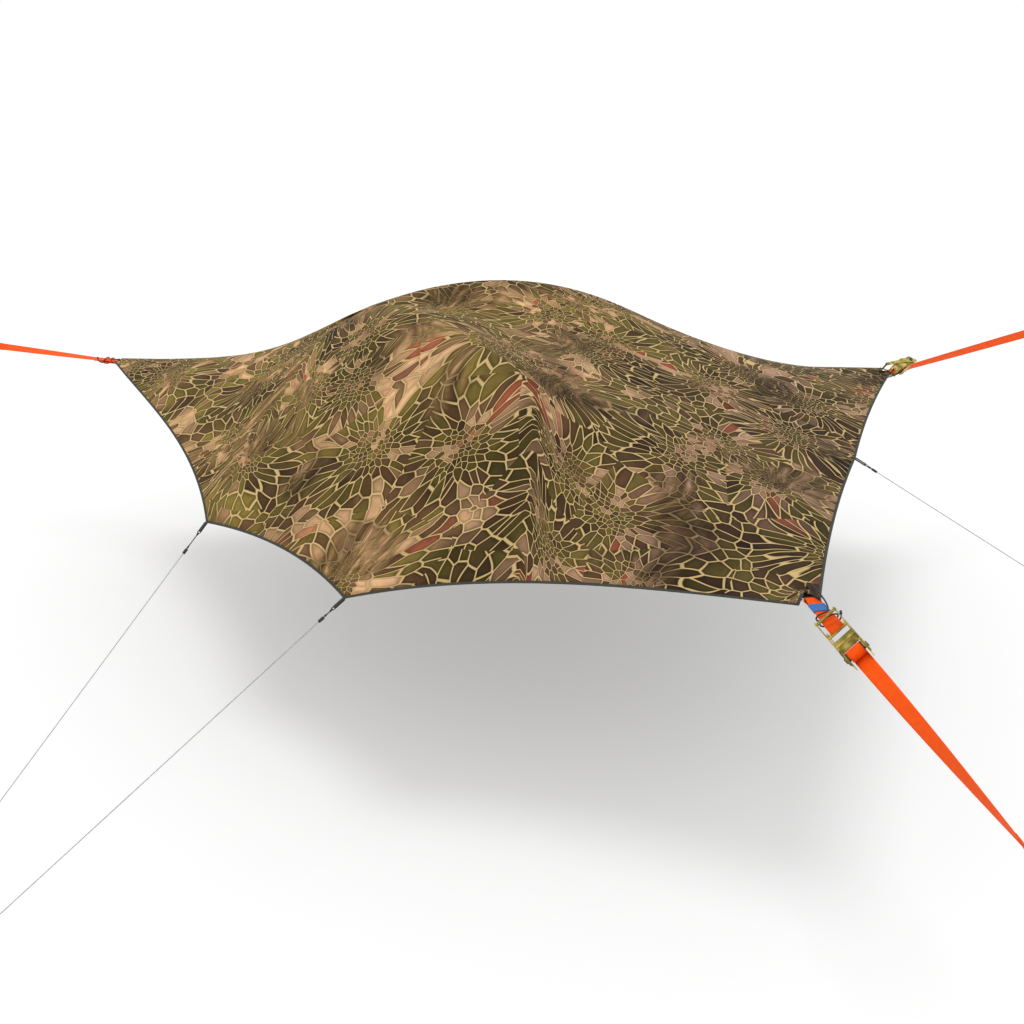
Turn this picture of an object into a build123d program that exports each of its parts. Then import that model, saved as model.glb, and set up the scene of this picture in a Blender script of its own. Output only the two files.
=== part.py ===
"""Three-anchor camping hammock: a taut triangular floor, two crossing poles, an inner canopy,
a camouflage fly, ratchet straps and guy lines. Millimetres, +Z up.

The origin is the sewn eye at the end of the foot strap. +X runs along the line of symmetry from
the foot corner to the head side, +Y to the left-hand head corner. The floor lies at Z = 0.
"""

from build123d import *
from math import cos, radians, sin, sqrt, tan
import os

os.makedirs("parts", exist_ok=True)

# ---- driving dimensions ----
side_length = 4100.0  # foot corner to either head corner
head_length = 2660.0  # between the head corners
foot_run = 975.0  # foot strap eye to the foot corner ring
side_sag = 100.0  # inward curve of each long floor edge
head_sag = 120.0  # inward curve of the head edge
webbing_width = 50.0
webbing_thick = 2.2
cloth_thick = 2.0
fly_thick = 1.4
mesh_thick = 1.5
edge_band = 45.0  # width of the webbing round the floor
eye_radius = 15.0  # inside radius of the sewn strap eyes
pole_radius = 4.75
pole_height = 527.0
pole_flatness = 0.8  # below 1 the pole is steeper at its feet and flatter on top
pole_foot_share = 0.265  # where a pole's foot-end tip stands along a side
pole_head_share = 0.774  # where a pole's head-end tip stands along a side
fly_over_pole = 27.0
canopy_under_pole = 20.0
ring_bar = 3.5  # radius of the corner ring's bar
ring_long, ring_short = 74.0, 26.0  # bar centre to bar centre
guy_radius = 1.6
elastic_radius = 2.0

foot_corner = Vector(foot_run, 0, 0)
head_x = foot_run + sqrt(side_length**2 - (head_length / 2) ** 2)
corners = {
    "foot": foot_corner,
    "right": Vector(head_x, -head_length / 2, 0),
    "left": Vector(head_x, head_length / 2, 0),
}
strap_angle = {"foot": 180.0, "right": -58.6, "left": 59.0}  # degrees from +X
strap_reach = {"foot": foot_run, "right": 1330.0, "left": 1540.0}  # corner to sewn eye
spool_place = {"right": 362.0, "left": 218.0}  # corner to spool axis, along the strap
ratchet_roll = {"right": 45.0, "left": -55.0}  # how far a ratchet hangs turned on its strap
eye_roll = {"foot": -30.0, "right": 135.0, "left": -100.0}  # roll of each strap's sewn eye


def mirrored(point):
    """The same point on the other side of the line of symmetry."""
    return Vector(point.X, -point.Y, point.Z)


def write(piece, label):
    """Label a finished piece and write its STEP file."""
    piece.label = label
    export_step(piece, f"parts/{label}.step")


def corner_plane(name, along=0.0, roll=0.0):
    """Plane whose X runs outward along a corner's strap, Y across it and Z up."""
    turn = radians(strap_angle[name])
    outward = Vector(cos(turn), sin(turn), 0)
    across = Vector(-sin(turn), cos(turn), 0)
    normal = Vector(0, 0, 1) * cos(radians(roll)) - across * sin(radians(roll))
    return Plane(origin=corners[name] + outward * along, x_dir=outward, z_dir=normal)


def placed(local_part, label, planes):
    """Copy a piece modelled at the origin onto each plane and write the group as one node."""
    with BuildPart() as group:
        for plane in planes:
            with Locations(plane.location):
                add(local_part)
    write(group.part, label)


def sheet_solid(rows, thickness):
    """Closed solid of a cloth panel: a grid of points on top, the same grid lowered below."""
    low = [[point - Vector(0, 0, thickness) for point in row] for row in rows]
    faces = []

    def triangle(a, b, c):
        if (b - a).cross(c - a).length > 1e-3:
            faces.append(Face(Wire.make_polygon([a, b, c])))

    def quad(a, b, c, d):
        triangle(a, b, d)
        triangle(b, c, d)

    last_row, last_column = len(rows) - 1, len(rows[0]) - 1
    for grid in (rows, low):
        for r in range(last_row):
            for c in range(last_column):
                quad(grid[r][c], grid[r + 1][c], grid[r + 1][c + 1], grid[r][c + 1])
    for r in range(last_row):
        for c in (0, last_column):
            quad(rows[r][c], rows[r + 1][c], low[r + 1][c], low[r][c])
    for c in range(last_column):
        for r in (0, last_row):
            quad(rows[r][c], rows[r][c + 1], low[r][c + 1], low[r][c])
    return Solid(Shell(faces))


def cord_path(points):
    """Fillet radii that make each bend of a cord or pole as large as its two runs allow."""
    radii = []
    for before, here, after in zip(points, points[1:], points[2:]):
        turn = (here - before).get_angle(after - here)
        shorter = min((here - before).length, (after - here).length)
        radii.append(0.45 * shorter / tan(radians(turn) / 2))
    return radii


def tube(points, radius):
    """Round tube along a route of straight runs joined by tangent arcs."""
    with BuildPart() as body:
        with BuildLine() as route:
            if len(points) == 2:
                Line(*points)
            else:
                FilletPolyline(*points, radius=cord_path(points))
        start = route.line @ 0
        with BuildSketch(Plane(origin=start, z_dir=route.line % 0)):
            Circle(radius)
        sweep()
    return body.part


# ---- floor ----
def side_point(share):
    """Point on the right-hand floor edge; share runs from the foot corner to the head corner."""
    chord = corners["right"] - foot_corner
    inward = Vector(-chord.Y, chord.X, 0).normalized()
    return foot_corner + chord * share + inward * side_sag * 4 * share * (1 - share)


head_middle = Vector(head_x - head_sag, 0, 0)
corner_trim = 34.0  # the floor stops short of the rings

with BuildSketch() as floor_outline:
    with BuildLine():
        ThreePointArc(corners["foot"], side_point(0.5), corners["right"])
        ThreePointArc(corners["right"], head_middle, corners["left"])
        ThreePointArc(corners["left"], mirrored(side_point(0.5)), corners["foot"])
    make_face()
    with Locations(*corners.values()):
        Circle(corner_trim, mode=Mode.SUBTRACT)

for label, side in (("floor_right_bay", -1), ("floor_left_bay", 1)):
    with BuildPart() as bay:
        with BuildSketch(Plane.XY.offset(-cloth_thick / 2)):
            add(floor_outline.sketch)
            with Locations((head_x / 2, -side * head_x / 2)):
                Rectangle(2 * head_x, head_x, mode=Mode.SUBTRACT)
        extrude(amount=cloth_thick)
    write(bay.part, label)

with BuildSketch() as edge_ring:
    add(floor_outline.sketch)
    with BuildLine():
        inset = side_point(0.5) + Vector(0, edge_band, 0)
        near_foot = foot_corner + Vector(edge_band * 3.3, 0, 0)
        near_right = corners["right"] + Vector(-edge_band * 1.28, edge_band * 1.02, 0)
        ThreePointArc(near_foot, inset, near_right)
        ThreePointArc(near_right, head_middle - Vector(edge_band, 0, 0), mirrored(near_right))
        ThreePointArc(mirrored(near_right), mirrored(inset), near_foot)
    make_face(mode=Mode.SUBTRACT)

mitre_hub = Vector(head_x - 700, 0, 0)  # the straps are mitred along rays from here
past_right = corners["right"] + Vector(70, -65, 0)
edge_regions = {
    "edge_strap_head": [mitre_hub, past_right, mirrored(past_right)],
    "edge_strap_right": [
        Vector(foot_run - 90, 0, 0),
        Vector(foot_run, -900, 0),
        past_right,
        mitre_hub,
    ],
}
edge_regions["edge_strap_left"] = [mirrored(point) for point in edge_regions["edge_strap_right"]]
for label, region in edge_regions.items():
    with BuildPart() as edge_strap:
        with BuildSketch(Plane.XY.offset(cloth_thick / 2)):
            add(edge_ring.sketch)
            with BuildLine():
                Polyline(*region, close=True)
            make_face(mode=Mode.INTERSECT)
        extrude(amount=cloth_thick)
    write(edge_strap.part, label)

patch_radius = {"foot": 420.0, "right": 260.0, "left": 260.0}
with BuildPart() as patches:
    for name, radius in patch_radius.items():
        with BuildSketch(Plane.XY.offset(-1.5 * cloth_thick)):
            with Locations(corners[name]):
                Circle(radius)
            add(floor_outline.sketch, mode=Mode.INTERSECT)
        extrude(amount=cloth_thick)
write(patches.part, "corner_patches")

with BuildPart() as spine:
    start_x = foot_run + patch_radius["foot"] + 1
    end_x = head_middle.X - 1
    with BuildSketch(Plane.XY.offset(-1.5 * cloth_thick)):
        with Locations(((start_x + end_x) / 2, 0)):
            Rectangle(end_x - start_x, webbing_width)
    extrude(amount=cloth_thick)
write(spine.part, "spine_strap")

# ---- corner rings and the webbing loops that hold them ----
loop_inner = ring_bar + 0.4
loop_outer = loop_inner + webbing_thick
loop_back = 120.0

with BuildPart() as ring:
    with BuildLine() as bar_line:
        ring_points = [
            (-ring_short / 2, -ring_long / 2),
            (ring_short / 2, -ring_long / 2),
            (ring_short / 2, ring_long / 2),
            (-ring_short / 2, ring_long / 2),
        ]
        FilletPolyline(*ring_points, radius=9, close=True)
    with BuildSketch(Plane(origin=bar_line.line @ 0, z_dir=bar_line.line % 0)):
        Circle(ring_bar)
    sweep()
placed(ring.part, "corner_rings", [corner_plane(name) for name in corners])

with BuildPart() as loop:
    with BuildSketch(Plane.XZ):
        with Locations((-ring_short / 2, 0)):
            Circle(loop_outer)
        with Locations((-ring_short / 2 - loop_back / 2, 0)):
            Rectangle(loop_back, 2 * loop_outer)
            Rectangle(loop_back, 2 * loop_inner, mode=Mode.SUBTRACT)
        with Locations((-ring_short / 2, 0)):
            Circle(loop_inner, mode=Mode.SUBTRACT)
    extrude(amount=webbing_width / 2, both=True)
placed(loop.part, "corner_loops", [corner_plane(name) for name in corners])

# ---- poles ----
foot_end = side_point(pole_foot_share)
head_end = mirrored(side_point(pole_head_share))
crossing_share = foot_end.Y / (foot_end.Y - head_end.Y)


def pole_point(share, lift=0.0):
    """Point on the pole from the right foot-end socket to the left head-end socket."""
    flat = foot_end + (head_end - foot_end) * share
    arch = pole_height * max(0.0, 4 * share * (1 - share)) ** pole_flatness
    return Vector(flat.X, flat.Y, arch + lift)


near_half = (0.0, 0.015, 0.045, 0.09, 0.15, 0.23, 0.32, 0.41)  # closer together at the feet
pole_shares = [*near_half, 0.5, *(1 - share for share in reversed(near_half))]
tip_lift = 10.0
pole_route = [pole_point(share) for share in pole_shares]
pole_route[0] += Vector(0, 0, tip_lift)
pole_route[-1] += Vector(0, 0, tip_lift)
crossing_gap = pole_radius + 0.6  # one pole passes over the other


def pole_line(over):
    """Route of a pole, raised or lowered a little where the two cross."""
    lift = crossing_gap if over else -crossing_gap
    shift = Vector(0, 0, lift)
    return [pole_route[0]] + [point + shift for point in pole_route[1:-1]] + [pole_route[-1]]


left_line = pole_line(over=True)
right_line = [mirrored(point) for point in pole_line(over=False)]
write(tube(left_line, pole_radius), "left_pole")
write(tube(right_line, pole_radius), "right_pole")

# Sleeves where the pole segments join: short collars round the tube.
ferrule_length, ferrule_radius = 36.0, 6.1
ferrule_runs = (3, 5, 10, 12)


def run_plane(line, step, length):
    """Plane at the start of a collar centred on one straight run of a pole."""
    direction = (line[step + 1] - line[step]).normalized()
    middle = (line[step] + line[step + 1]) * 0.5
    return Plane(origin=middle - direction * length / 2, z_dir=direction)


with BuildPart() as ferrules:
    for line in (left_line, right_line):
        for step in ferrule_runs:
            with BuildSketch(run_plane(line, step, ferrule_length)):
                Circle(ferrule_radius)
                Circle(pole_radius + 0.2, mode=Mode.SUBTRACT)
            extrude(amount=ferrule_length)
write(ferrules.part, "pole_ferrules")

# Each tip's pin stands in the hole of a socket tab sewn to the floor edge.
pole_ends = [
    (left_line[0], left_line[1]),
    (left_line[-1], left_line[-2]),
    (right_line[0], right_line[1]),
    (right_line[-1], right_line[-2]),
]
tip_floor = cloth_thick * 1.5 + 0.2
with BuildPart() as tips:
    for end, _ in pole_ends:
        with Locations((end.X, end.Y, tip_floor)):
            Cylinder(3.0, 3.2, align=(Align.CENTER, Align.CENTER, Align.MIN))
write(tips.part, "pole_tips")

with BuildPart() as sockets:
    for end, _ in pole_ends:
        with BuildSketch(Plane.XY.offset(cloth_thick * 1.5)):
            with Locations((end.X, end.Y)):
                RectangleRounded(44, 44, 8)
                Circle(3.4, mode=Mode.SUBTRACT)
        extrude(amount=2.4)
write(sockets.part, "pole_sockets")

crossing = pole_point(crossing_share)
with BuildPart() as cross_clip:
    with Locations(crossing):
        Box(34, 34, 5)
        Cylinder(4.2, 40)
        Box(60, 60, 2 * crossing_gap + 2 * pole_radius + 0.6, mode=Mode.INTERSECT)
    for line in (left_line, right_line):
        add(tube(line[3:8], pole_radius + 0.2), mode=Mode.SUBTRACT)
write(cross_clip.part, "pole_cross_clip")


# ---- inner canopy: four mesh panels slung under the poles ----
def under_pole(share):
    """Point just below a pole, never lower than the floor edge."""
    point = pole_point(share)
    drop = canopy_under_pole * min(1.0, point.Z / 60)
    return Vector(point.X, point.Y, max(point.Z - drop, cloth_thick * 1.5 + 3.0))


def between(first, second, count, inward=Vector(0, 0, 0)):
    """Row of points from first to second, drawn inward in its middle."""
    row = []
    for step in range(count + 1):
        share = step / count
        row.append(first + (second - first) * share + inward * 4 * share * (1 - share))
    return row


panel_rows = 6
base_inset = 32.0  # keeps the base of each panel clear of the pole sockets
near_crossing = 0.93  # the panels stop at the crown patch round the crossing
side_rows, foot_rows, head_rows = [], [], []
base_sag = side_sag * (pole_head_share - pole_foot_share) ** 2
for step in range(panel_rows + 1):
    share = near_crossing * step / panel_rows
    right_of_foot = under_pole(crossing_share * share)
    right_of_head = mirrored(under_pole(1 - (1 - crossing_share) * share))
    inward = Vector(0, base_sag * (1 - share), 0)
    inset = Vector(0, base_inset if step == 0 else 0, 0)
    slide = (right_of_head - right_of_foot).normalized() * inset.Y
    side_rows.append(between(right_of_foot + slide, right_of_head - slide, 4, inward))
    foot_rows.append(between(right_of_foot + inset, mirrored(right_of_foot + inset), 2))
    head_rows.append(between(right_of_head + inset, mirrored(right_of_head + inset), 4))

write(sheet_solid(side_rows, mesh_thick), "canopy_right_panel")
left_rows = [[mirrored(point) for point in row] for row in side_rows]
write(sheet_solid(left_rows, mesh_thick), "canopy_left_panel")
write(sheet_solid(foot_rows, mesh_thick), "canopy_foot_panel")
write(sheet_solid(head_rows, mesh_thick), "canopy_head_panel")

# Clips hang the panel seams from the poles: a collar on the pole with a stem below it.
clip_runs = (4, 6, 7, 8, 9, 11)
clip_length, stem_radius = 10.0, 2.0
with BuildPart() as clips:
    for line in (left_line, right_line):
        for step in clip_runs:
            collar = run_plane(line, step, clip_length)
            with BuildSketch(collar):
                Circle(pole_radius + 1.8)
                Circle(pole_radius + 0.3, mode=Mode.SUBTRACT)
            extrude(amount=clip_length)
            middle = (line[step] + line[step + 1]) * 0.5
            with Locations(middle - Vector(0, 0, pole_radius + 1.2)):
                Cylinder(stem_radius, 4.0, align=(Align.CENTER, Align.CENTER, Align.MAX))
            with BuildSketch(run_plane(line, step, 3 * clip_length)):
                Circle(pole_radius + 0.3)
            extrude(amount=3 * clip_length, mode=Mode.SUBTRACT)
write(clips.part, "canopy_clips")

# ---- door zip along the head panel's base ----
zip_x = head_end.X + 14
zip_half = 780.0
zip_low = cloth_thick / 2 + 0.2
with BuildPart() as door_zip:
    with Locations((zip_x, 0, zip_low + 1.0)):
        Box(30, 2 * zip_half, 2.0)
    with Locations((zip_x, 0, zip_low + 3.0)):
        Box(6, 2 * zip_half, 2.0)
write(door_zip.part, "door_zip")

with BuildPart() as zip_slider:
    with Locations((zip_x, zip_half - 40, zip_low + 6.0)):
        Box(14, 20, 7)
    with Locations((zip_x, zip_half - 40, zip_low + 3.6)):
        Box(6.8, 22, 3, mode=Mode.SUBTRACT)
    with Locations((zip_x, zip_half - 40, zip_low + 10.4)):
        Box(5, 34, 2.2)
write(zip_slider.part, "zip_slider")

# ---- fly ----
guy_points = {
    "right_foot": Vector(2412, -1220, -200),
    "right_middle": Vector(3272, -1580, -200),
    "head": Vector(head_x, 0, 0),
    "left_middle": Vector(3272, 1580, -200),
    "left_foot": Vector(2412, 1220, -200),
}
guy_direction = {
    "right_foot": Vector(-0.095, -1.045, -0.55),
    "right_middle": Vector(-0.32, -0.70, -0.35),
    "head": Vector(0.62, -0.05, -0.30),
    "left_middle": Vector(-0.32, 0.70, -0.35),
    "left_foot": Vector(-0.095, 1.045, -0.55),
}
guy_length = {
    "right_foot": 1620.0,
    "right_middle": 1700.0,
    "head": 860.0,
    "left_middle": 1700.0,
    "left_foot": 1620.0,
}


def edge_between(first, second, share, sag, middle=Vector(3300, 0, 350)):
    """Point on a fly edge that curves inward between two held points."""
    point = first + (second - first) * share
    inward = (middle - point).normalized()
    return point + inward * sag * 4 * share * (1 - share)


def ridge(share):
    """Fly ridge over the pole that ends at the right head-end socket."""
    return mirrored(pole_point(share, fly_over_pole))


foot_tip_height, head_tip_height = 16.0, 30.0
foot_tip = foot_corner + Vector(14, -24, foot_tip_height)
right_tip = corners["right"] + Vector(-30, 8, head_tip_height)
head_guy = guy_points["head"] + Vector(-6, 0, 4)
right_foot_guy = guy_points["right_foot"]
right_middle_guy = guy_points["right_middle"]
leave_pole = 0.70  # share of the pole at which the fly leaves it for the head corner
free_middle = (ridge(leave_pole) + right_tip) * 0.5 - Vector(0, 0, 24)
crown = ridge(crossing_share + 0.03)

fly_frame = [
    # edge point, ridge point, height of the middle
    (foot_tip, Vector(foot_tip.X, -10, foot_tip_height), foot_tip_height),
    (
        edge_between(foot_tip, right_foot_guy, 0.5, 85),
        Vector(foot_run + 700, -60, 190),
        200,
    ),
    (right_foot_guy, crown, crown.Z + 4),
    (edge_between(right_foot_guy, right_middle_guy, 0.5, 60), ridge(0.36), ridge(0.36).Z - 12),
    (right_middle_guy, ridge(0.52), ridge(0.52).Z - 22),
    (edge_between(right_middle_guy, right_tip, 0.33, 90), ridge(leave_pole), 466),
    (edge_between(right_middle_guy, right_tip, 0.66, 90), free_middle, 235),
    (right_tip, edge_between(right_tip, head_guy, 0.5, 60), head_guy.Z),
]
flank_sag = 20.0  # the cloth sags a little between its edge and the ridge
right_fly_rows = []
for edge, high, centre_height in fly_frame:
    centre_x = head_guy.X if edge is right_tip else high.X
    over_floor_tip = edge.X > 4000 or edge is foot_tip
    halfway = (edge + high) * 0.5 - Vector(0, 0, 0 if over_floor_tip else flank_sag)
    right_fly_rows.append([edge, halfway, high, Vector(centre_x, 0, centre_height)])
left_fly_rows = [[mirrored(point) for point in row] for row in right_fly_rows]
write(sheet_solid(right_fly_rows, fly_thick), "fly_right_half")
write(sheet_solid(left_fly_rows, fly_thick), "fly_left_half")

# ---- guy lines, their tabs and tensioners ----
tab_length, tab_width, tab_thick = 46.0, 12.0, 2.0
tab_nose = 4.5
near_loop = 8.0  # centre-line radius of the loop through the tab
near_loop_place = 51.0  # guy point to the centre of that loop
tensioner_place = {
    "right_foot": 155.0,
    "right_middle": 112.0,
    "head": 90.0,
    "left_middle": 112.0,
    "left_foot": 155.0,
}
tensioner_size = (26.0, 11.0, 7.0)
tensioner_bore = 2.4
end_loop = 22.0  # centre-line radius of the tied end loop

with BuildPart() as tab:
    with BuildSketch(Plane.XZ):
        with Locations((4 + tab_length / 2, 0)):
            SlotCenterToCenter(tab_length - 2 * tab_nose, 2 * tab_nose)
            SlotCenterToCenter(tab_length - 2 * tab_nose, 2 * (tab_nose - tab_thick), mode=Mode.SUBTRACT)
    extrude(amount=tab_width / 2, both=True)

with BuildPart() as tensioner:
    Box(*tensioner_size)
    fillet(tensioner.edges().filter_by(Axis.Z), 4)
    fillet(tensioner.edges().group_by(Axis.Z)[-1], 1.5)
    with Locations(Plane.YZ):
        Cylinder(tensioner_bore, tensioner_size[0] + 2, mode=Mode.SUBTRACT)


def guy_plane(name, along):
    """Plane at a distance along a guy line: X down the line, Y level."""
    direction = guy_direction[name].normalized()
    level = Vector(-direction.Y, direction.X, 0).normalized()
    origin = guy_points[name] + direction * along
    return Plane(origin=origin, x_dir=direction, z_dir=direction.cross(level))


placed(tab.part, "fly_guy_tabs", [guy_plane(name, 0) for name in guy_points])
for name in guy_points:
    plane = guy_plane(name, 0)
    with BuildPart() as guy_line:
        run = guy_length[name]
        line_start = near_loop_place + near_loop
        with BuildSketch(Plane(origin=plane.from_local_coords((line_start, 0, 0)), z_dir=plane.x_dir)):
            Circle(guy_radius)
        extrude(amount=run - line_start)
        with Locations(plane.location):
            with Locations((near_loop_place, 0, 0)):
                Torus(near_loop, guy_radius)
            with Locations((line_start + 4, 0, 0)):
                Cylinder(4.0, 12, rotation=(0, 90, 0))
            with Locations((run + end_loop, 0, 0)):
                Torus(end_loop, guy_radius)
            with Locations((run - 6, 0, 0)):
                Cylinder(4.2, 16, rotation=(0, 90, 0))
    write(guy_line.part, f"guy_line_{name}")
    placed(tensioner.part, f"line_tensioner_{name}", [guy_plane(name, tensioner_place[name])])


# ---- anchor straps ----
def rolled_rows(start, end, first_roll, last_roll, lift=0.0, steps=12):
    """Upper and lower rows of points along webbing that turns from one roll to another."""
    half = webbing_width / 2
    upper, lower = [], []
    for step in range(steps + 1):
        share = step / steps
        turn = radians(first_roll + (last_roll - first_roll) * share)
        across = Vector(0, cos(turn), sin(turn)) * half
        normal = Vector(0, -sin(turn), cos(turn))
        centre = Vector(start + (end - start) * share, 0, 0) + normal * lift
        above = normal * webbing_thick / 2
        upper.append([centre - across + above, centre + across + above])
        lower.append([centre - across - above, centre + across - above])
    return upper, lower


def twisted_band(rows, below):
    """Closed solid between an upper and a lower strip of points."""
    faces = []

    def quad(a, b, c, d):
        faces.append(Face(Wire.make_polygon([a, b, c])))
        faces.append(Face(Wire.make_polygon([a, c, d])))

    for top, bottom, next_top, next_bottom in zip(rows, below, rows[1:], below[1:]):
        quad(top[0], next_top[0], next_top[1], top[1])
        quad(bottom[0], next_bottom[0], next_bottom[1], bottom[1])
        quad(top[0], next_top[0], next_bottom[0], bottom[0])
        quad(top[1], next_top[1], next_bottom[1], bottom[1])
    for end in (0, -1):
        quad(rows[end][0], rows[end][1], below[end][1], below[end][0])
    return Solid(Shell(faces))


spool_height = 20.0  # spool axis above the line of the straps
spool_radius = 9.0
roll_radius = spool_height + webbing_thick / 2
loop_length = 96.0  # doubled webbing where the foot strap turns round its ring


def roll_plane(along, roll):
    """Plane square to the strap's edges at a place along it, turned with the strap."""
    return Plane(origin=(along, 0, 0)).rotated((roll, 0, 0))


for name in corners:
    with BuildPart() as strap:
        if name == "foot":
            first_roll = 0.0
            band_start = ring_short / 2 + loop_length + loop_outer - webbing_thick
            with BuildSketch(Plane.XZ):
                with Locations((ring_short / 2 + loop_length / 2, 0)):
                    SlotCenterToCenter(loop_length, 2 * loop_outer)
                    SlotCenterToCenter(loop_length, 2 * loop_inner, mode=Mode.SUBTRACT)
            extrude(amount=webbing_width / 2, both=True)
        else:
            first_roll = ratchet_roll[name]
            band_start = spool_place[name] + 2
            with Locations(roll_plane(spool_place[name], first_roll).location):
                with Locations((0, 0, spool_height)):
                    Cylinder(roll_radius, webbing_width, rotation=(90, 0, 0))
                    Cylinder(
                        spool_radius + 0.5, webbing_width + 2, rotation=(90, 0, 0), mode=Mode.SUBTRACT
                    )
        band_end = strap_reach[name] - eye_radius - webbing_thick / 2
        add(twisted_band(*rolled_rows(band_start, band_end, first_roll, eye_roll[name])))
        with Locations(roll_plane(strap_reach[name], eye_roll[name]).location):
            Cylinder(eye_radius + webbing_thick, webbing_width, rotation=(90, 0, 0))
            Cylinder(eye_radius, webbing_width + 2, rotation=(90, 0, 0), mode=Mode.SUBTRACT)
    placed(strap.part, f"{name}_strap", [corner_plane(name)])

# ---- ratchets: modelled with the spool axis at X = 0, bolt towards the tent at X < 0 ----
bolt_x = -155.0
bolt_radius = 5.0
frame_inner, plate = 31.0, 2.5
wheel_inner, wheel_thick = frame_inner + plate + 0.4, 1.7
handle_inner = wheel_inner + wheel_thick + 0.4
wheel_radius, tooth_depth, tooth_count = 24.0, 4.0, 11
grip_x, grip_z, grip_radius, grip_half = -195.0, 34.0, 5.0, 41.0
pawl_travel = 6.0


with BuildSketch(Plane.XZ) as frame_outline:
    with BuildLine():
        Polyline(
            (bolt_x - 12, 0),
            (bolt_x - 8, 11),
            (-60, 24),
            (-16, 42),
            (16, 42),
            (46, 12),
            (40, 2),
            (-10, -4),
            (bolt_x, -13),
            close=True,
        )
    make_face()
    fillet(frame_outline.vertices(), 5)
    with Locations((0, spool_height)):
        Circle(spool_radius + 0.3, mode=Mode.SUBTRACT)
    with Locations((bolt_x, 0)):
        Circle(bolt_radius + 0.05, mode=Mode.SUBTRACT)

with BuildPart() as ratchet_frame:
    for side in (-1, 1):
        inner_face = frame_inner if side < 0 else -frame_inner - plate
        with BuildSketch(Plane.XZ.offset(inner_face)):
            add(frame_outline.sketch_local)
        extrude(amount=plate)
    with Locations((-88, 0, -0.5)):
        Box(60, 2 * frame_inner, 2.5)

with BuildPart() as ratchet_bolt:
    with BuildSketch(Plane.XZ.offset(-38)):
        with Locations((bolt_x, 0)):
            Circle(bolt_radius)
    extrude(amount=76)
    for side in (-1, 1):
        head_face = 34 if side > 0 else -38
        with BuildSketch(Plane.XZ.offset(head_face)):
            with Locations((bolt_x, 0)):
                RegularPolygon(8.5, 6)
        extrude(amount=4)

with BuildSketch(Plane.XZ) as handle_outline:
    with BuildLine():
        Polyline(
            (grip_x - 9, grip_z - 4),
            (grip_x - 7, grip_z + 8),
            (-70, 37),
            (-20, 40),
            (14, 36),
            (24, 18),
            (10, 2),
            (-12, 2),
            (-60, 16),
            (grip_x, grip_z - 9),
            close=True,
        )
    make_face()
    fillet(handle_outline.vertices(), 4.5)
    with Locations((0, spool_height)):
        Circle(spool_radius + 0.3, mode=Mode.SUBTRACT)

with BuildPart() as ratchet_handle:
    for side in (-1, 1):
        inner_face = handle_inner if side < 0 else -handle_inner - plate
        with BuildSketch(Plane.XZ.offset(inner_face)):
            add(handle_outline.sketch_local)
        extrude(amount=plate)
    with BuildSketch(Plane.XZ.offset(-grip_half)):
        with Locations((grip_x, grip_z)):
            Circle(grip_radius)
    extrude(amount=2 * grip_half)
    with BuildSketch(Plane.XZ.offset(-handle_inner)):
        with Locations((-112, 30)):
            Circle(3.2)
    extrude(amount=2 * handle_inner)

with BuildPart() as handle_pawl:
    with Locations((-54, 0, 42.5)):
        Box(26, 2 * (wheel_inner + wheel_thick), 3)
    for side in (-1, 1):
        with Locations((-38, side * (wheel_inner + wheel_thick / 2), 34.5)):
            Box(16, wheel_thick, 13)
            Box(8, wheel_thick, 3)

with BuildPart() as frame_pawl:
    with Locations((-50, 0, -12)):
        Box(30, 2 * (wheel_inner + wheel_thick), 3)
    for side in (-1, 1):
        with Locations((-36, side * (wheel_inner + wheel_thick / 2), -1)):
            Box(18, wheel_thick, 22)

with BuildPart() as spool:
    with BuildSketch(Plane.XZ.offset(-42)):
        with Locations((0, spool_height)):
            Circle(spool_radius)
            Rectangle(2 * spool_radius, 3.2, mode=Mode.SUBTRACT)
    extrude(amount=84)

with BuildPart() as wheels:
    for side in (-1, 1):
        inner_face = wheel_inner if side > 0 else -wheel_inner - wheel_thick
        with BuildSketch(Plane.XZ.offset(inner_face)):
            with Locations((0, spool_height)):
                Circle(wheel_radius)
                Circle(spool_radius, mode=Mode.SUBTRACT)
                with PolarLocations(wheel_radius, tooth_count):
                    Rectangle(2 * tooth_depth, 6, mode=Mode.SUBTRACT)
        extrude(amount=wheel_thick)

ratchet_planes = {
    name: corner_plane(name, along=spool_place[name], roll=roll)
    for name, roll in ratchet_roll.items()
}
ratchet_pieces = {
    "frame": ratchet_frame,
    "handle": ratchet_handle,
    "handle_pawl": handle_pawl,
    "frame_pawl": frame_pawl,
    "spool": spool,
    "wheels": wheels,
}
for name, plane in ratchet_planes.items():
    for kind, piece in ratchet_pieces.items():
        placed(piece.part, f"{name}_ratchet_{kind}", [plane])
placed(ratchet_bolt.part, "ratchet_bolts", ratchet_planes.values())

# Short fixed straps: two layers from the corner ring to the ratchet bolt, turned by its roll.
strap_inner = bolt_radius + 0.4
strap_half = strap_inner + webbing_thick
twist_start = {"right": 100.0, "left": ring_short / 2}  # level up to here


def bend(along, roll, outward):
    """Half turn of webbing round a bar, open towards the tent or away from it."""
    with BuildPart() as turn_back:
        with Locations(roll_plane(along, roll).location):
            Cylinder(strap_half, webbing_width, rotation=(90, 0, 0))
            Cylinder(strap_inner, webbing_width + 2, rotation=(90, 0, 0), mode=Mode.SUBTRACT)
            with Locations((-outward * strap_half, 0, 0)):
                Box(2 * strap_half, 2 * webbing_width, 3 * strap_half, mode=Mode.SUBTRACT)
    return turn_back.part


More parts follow.
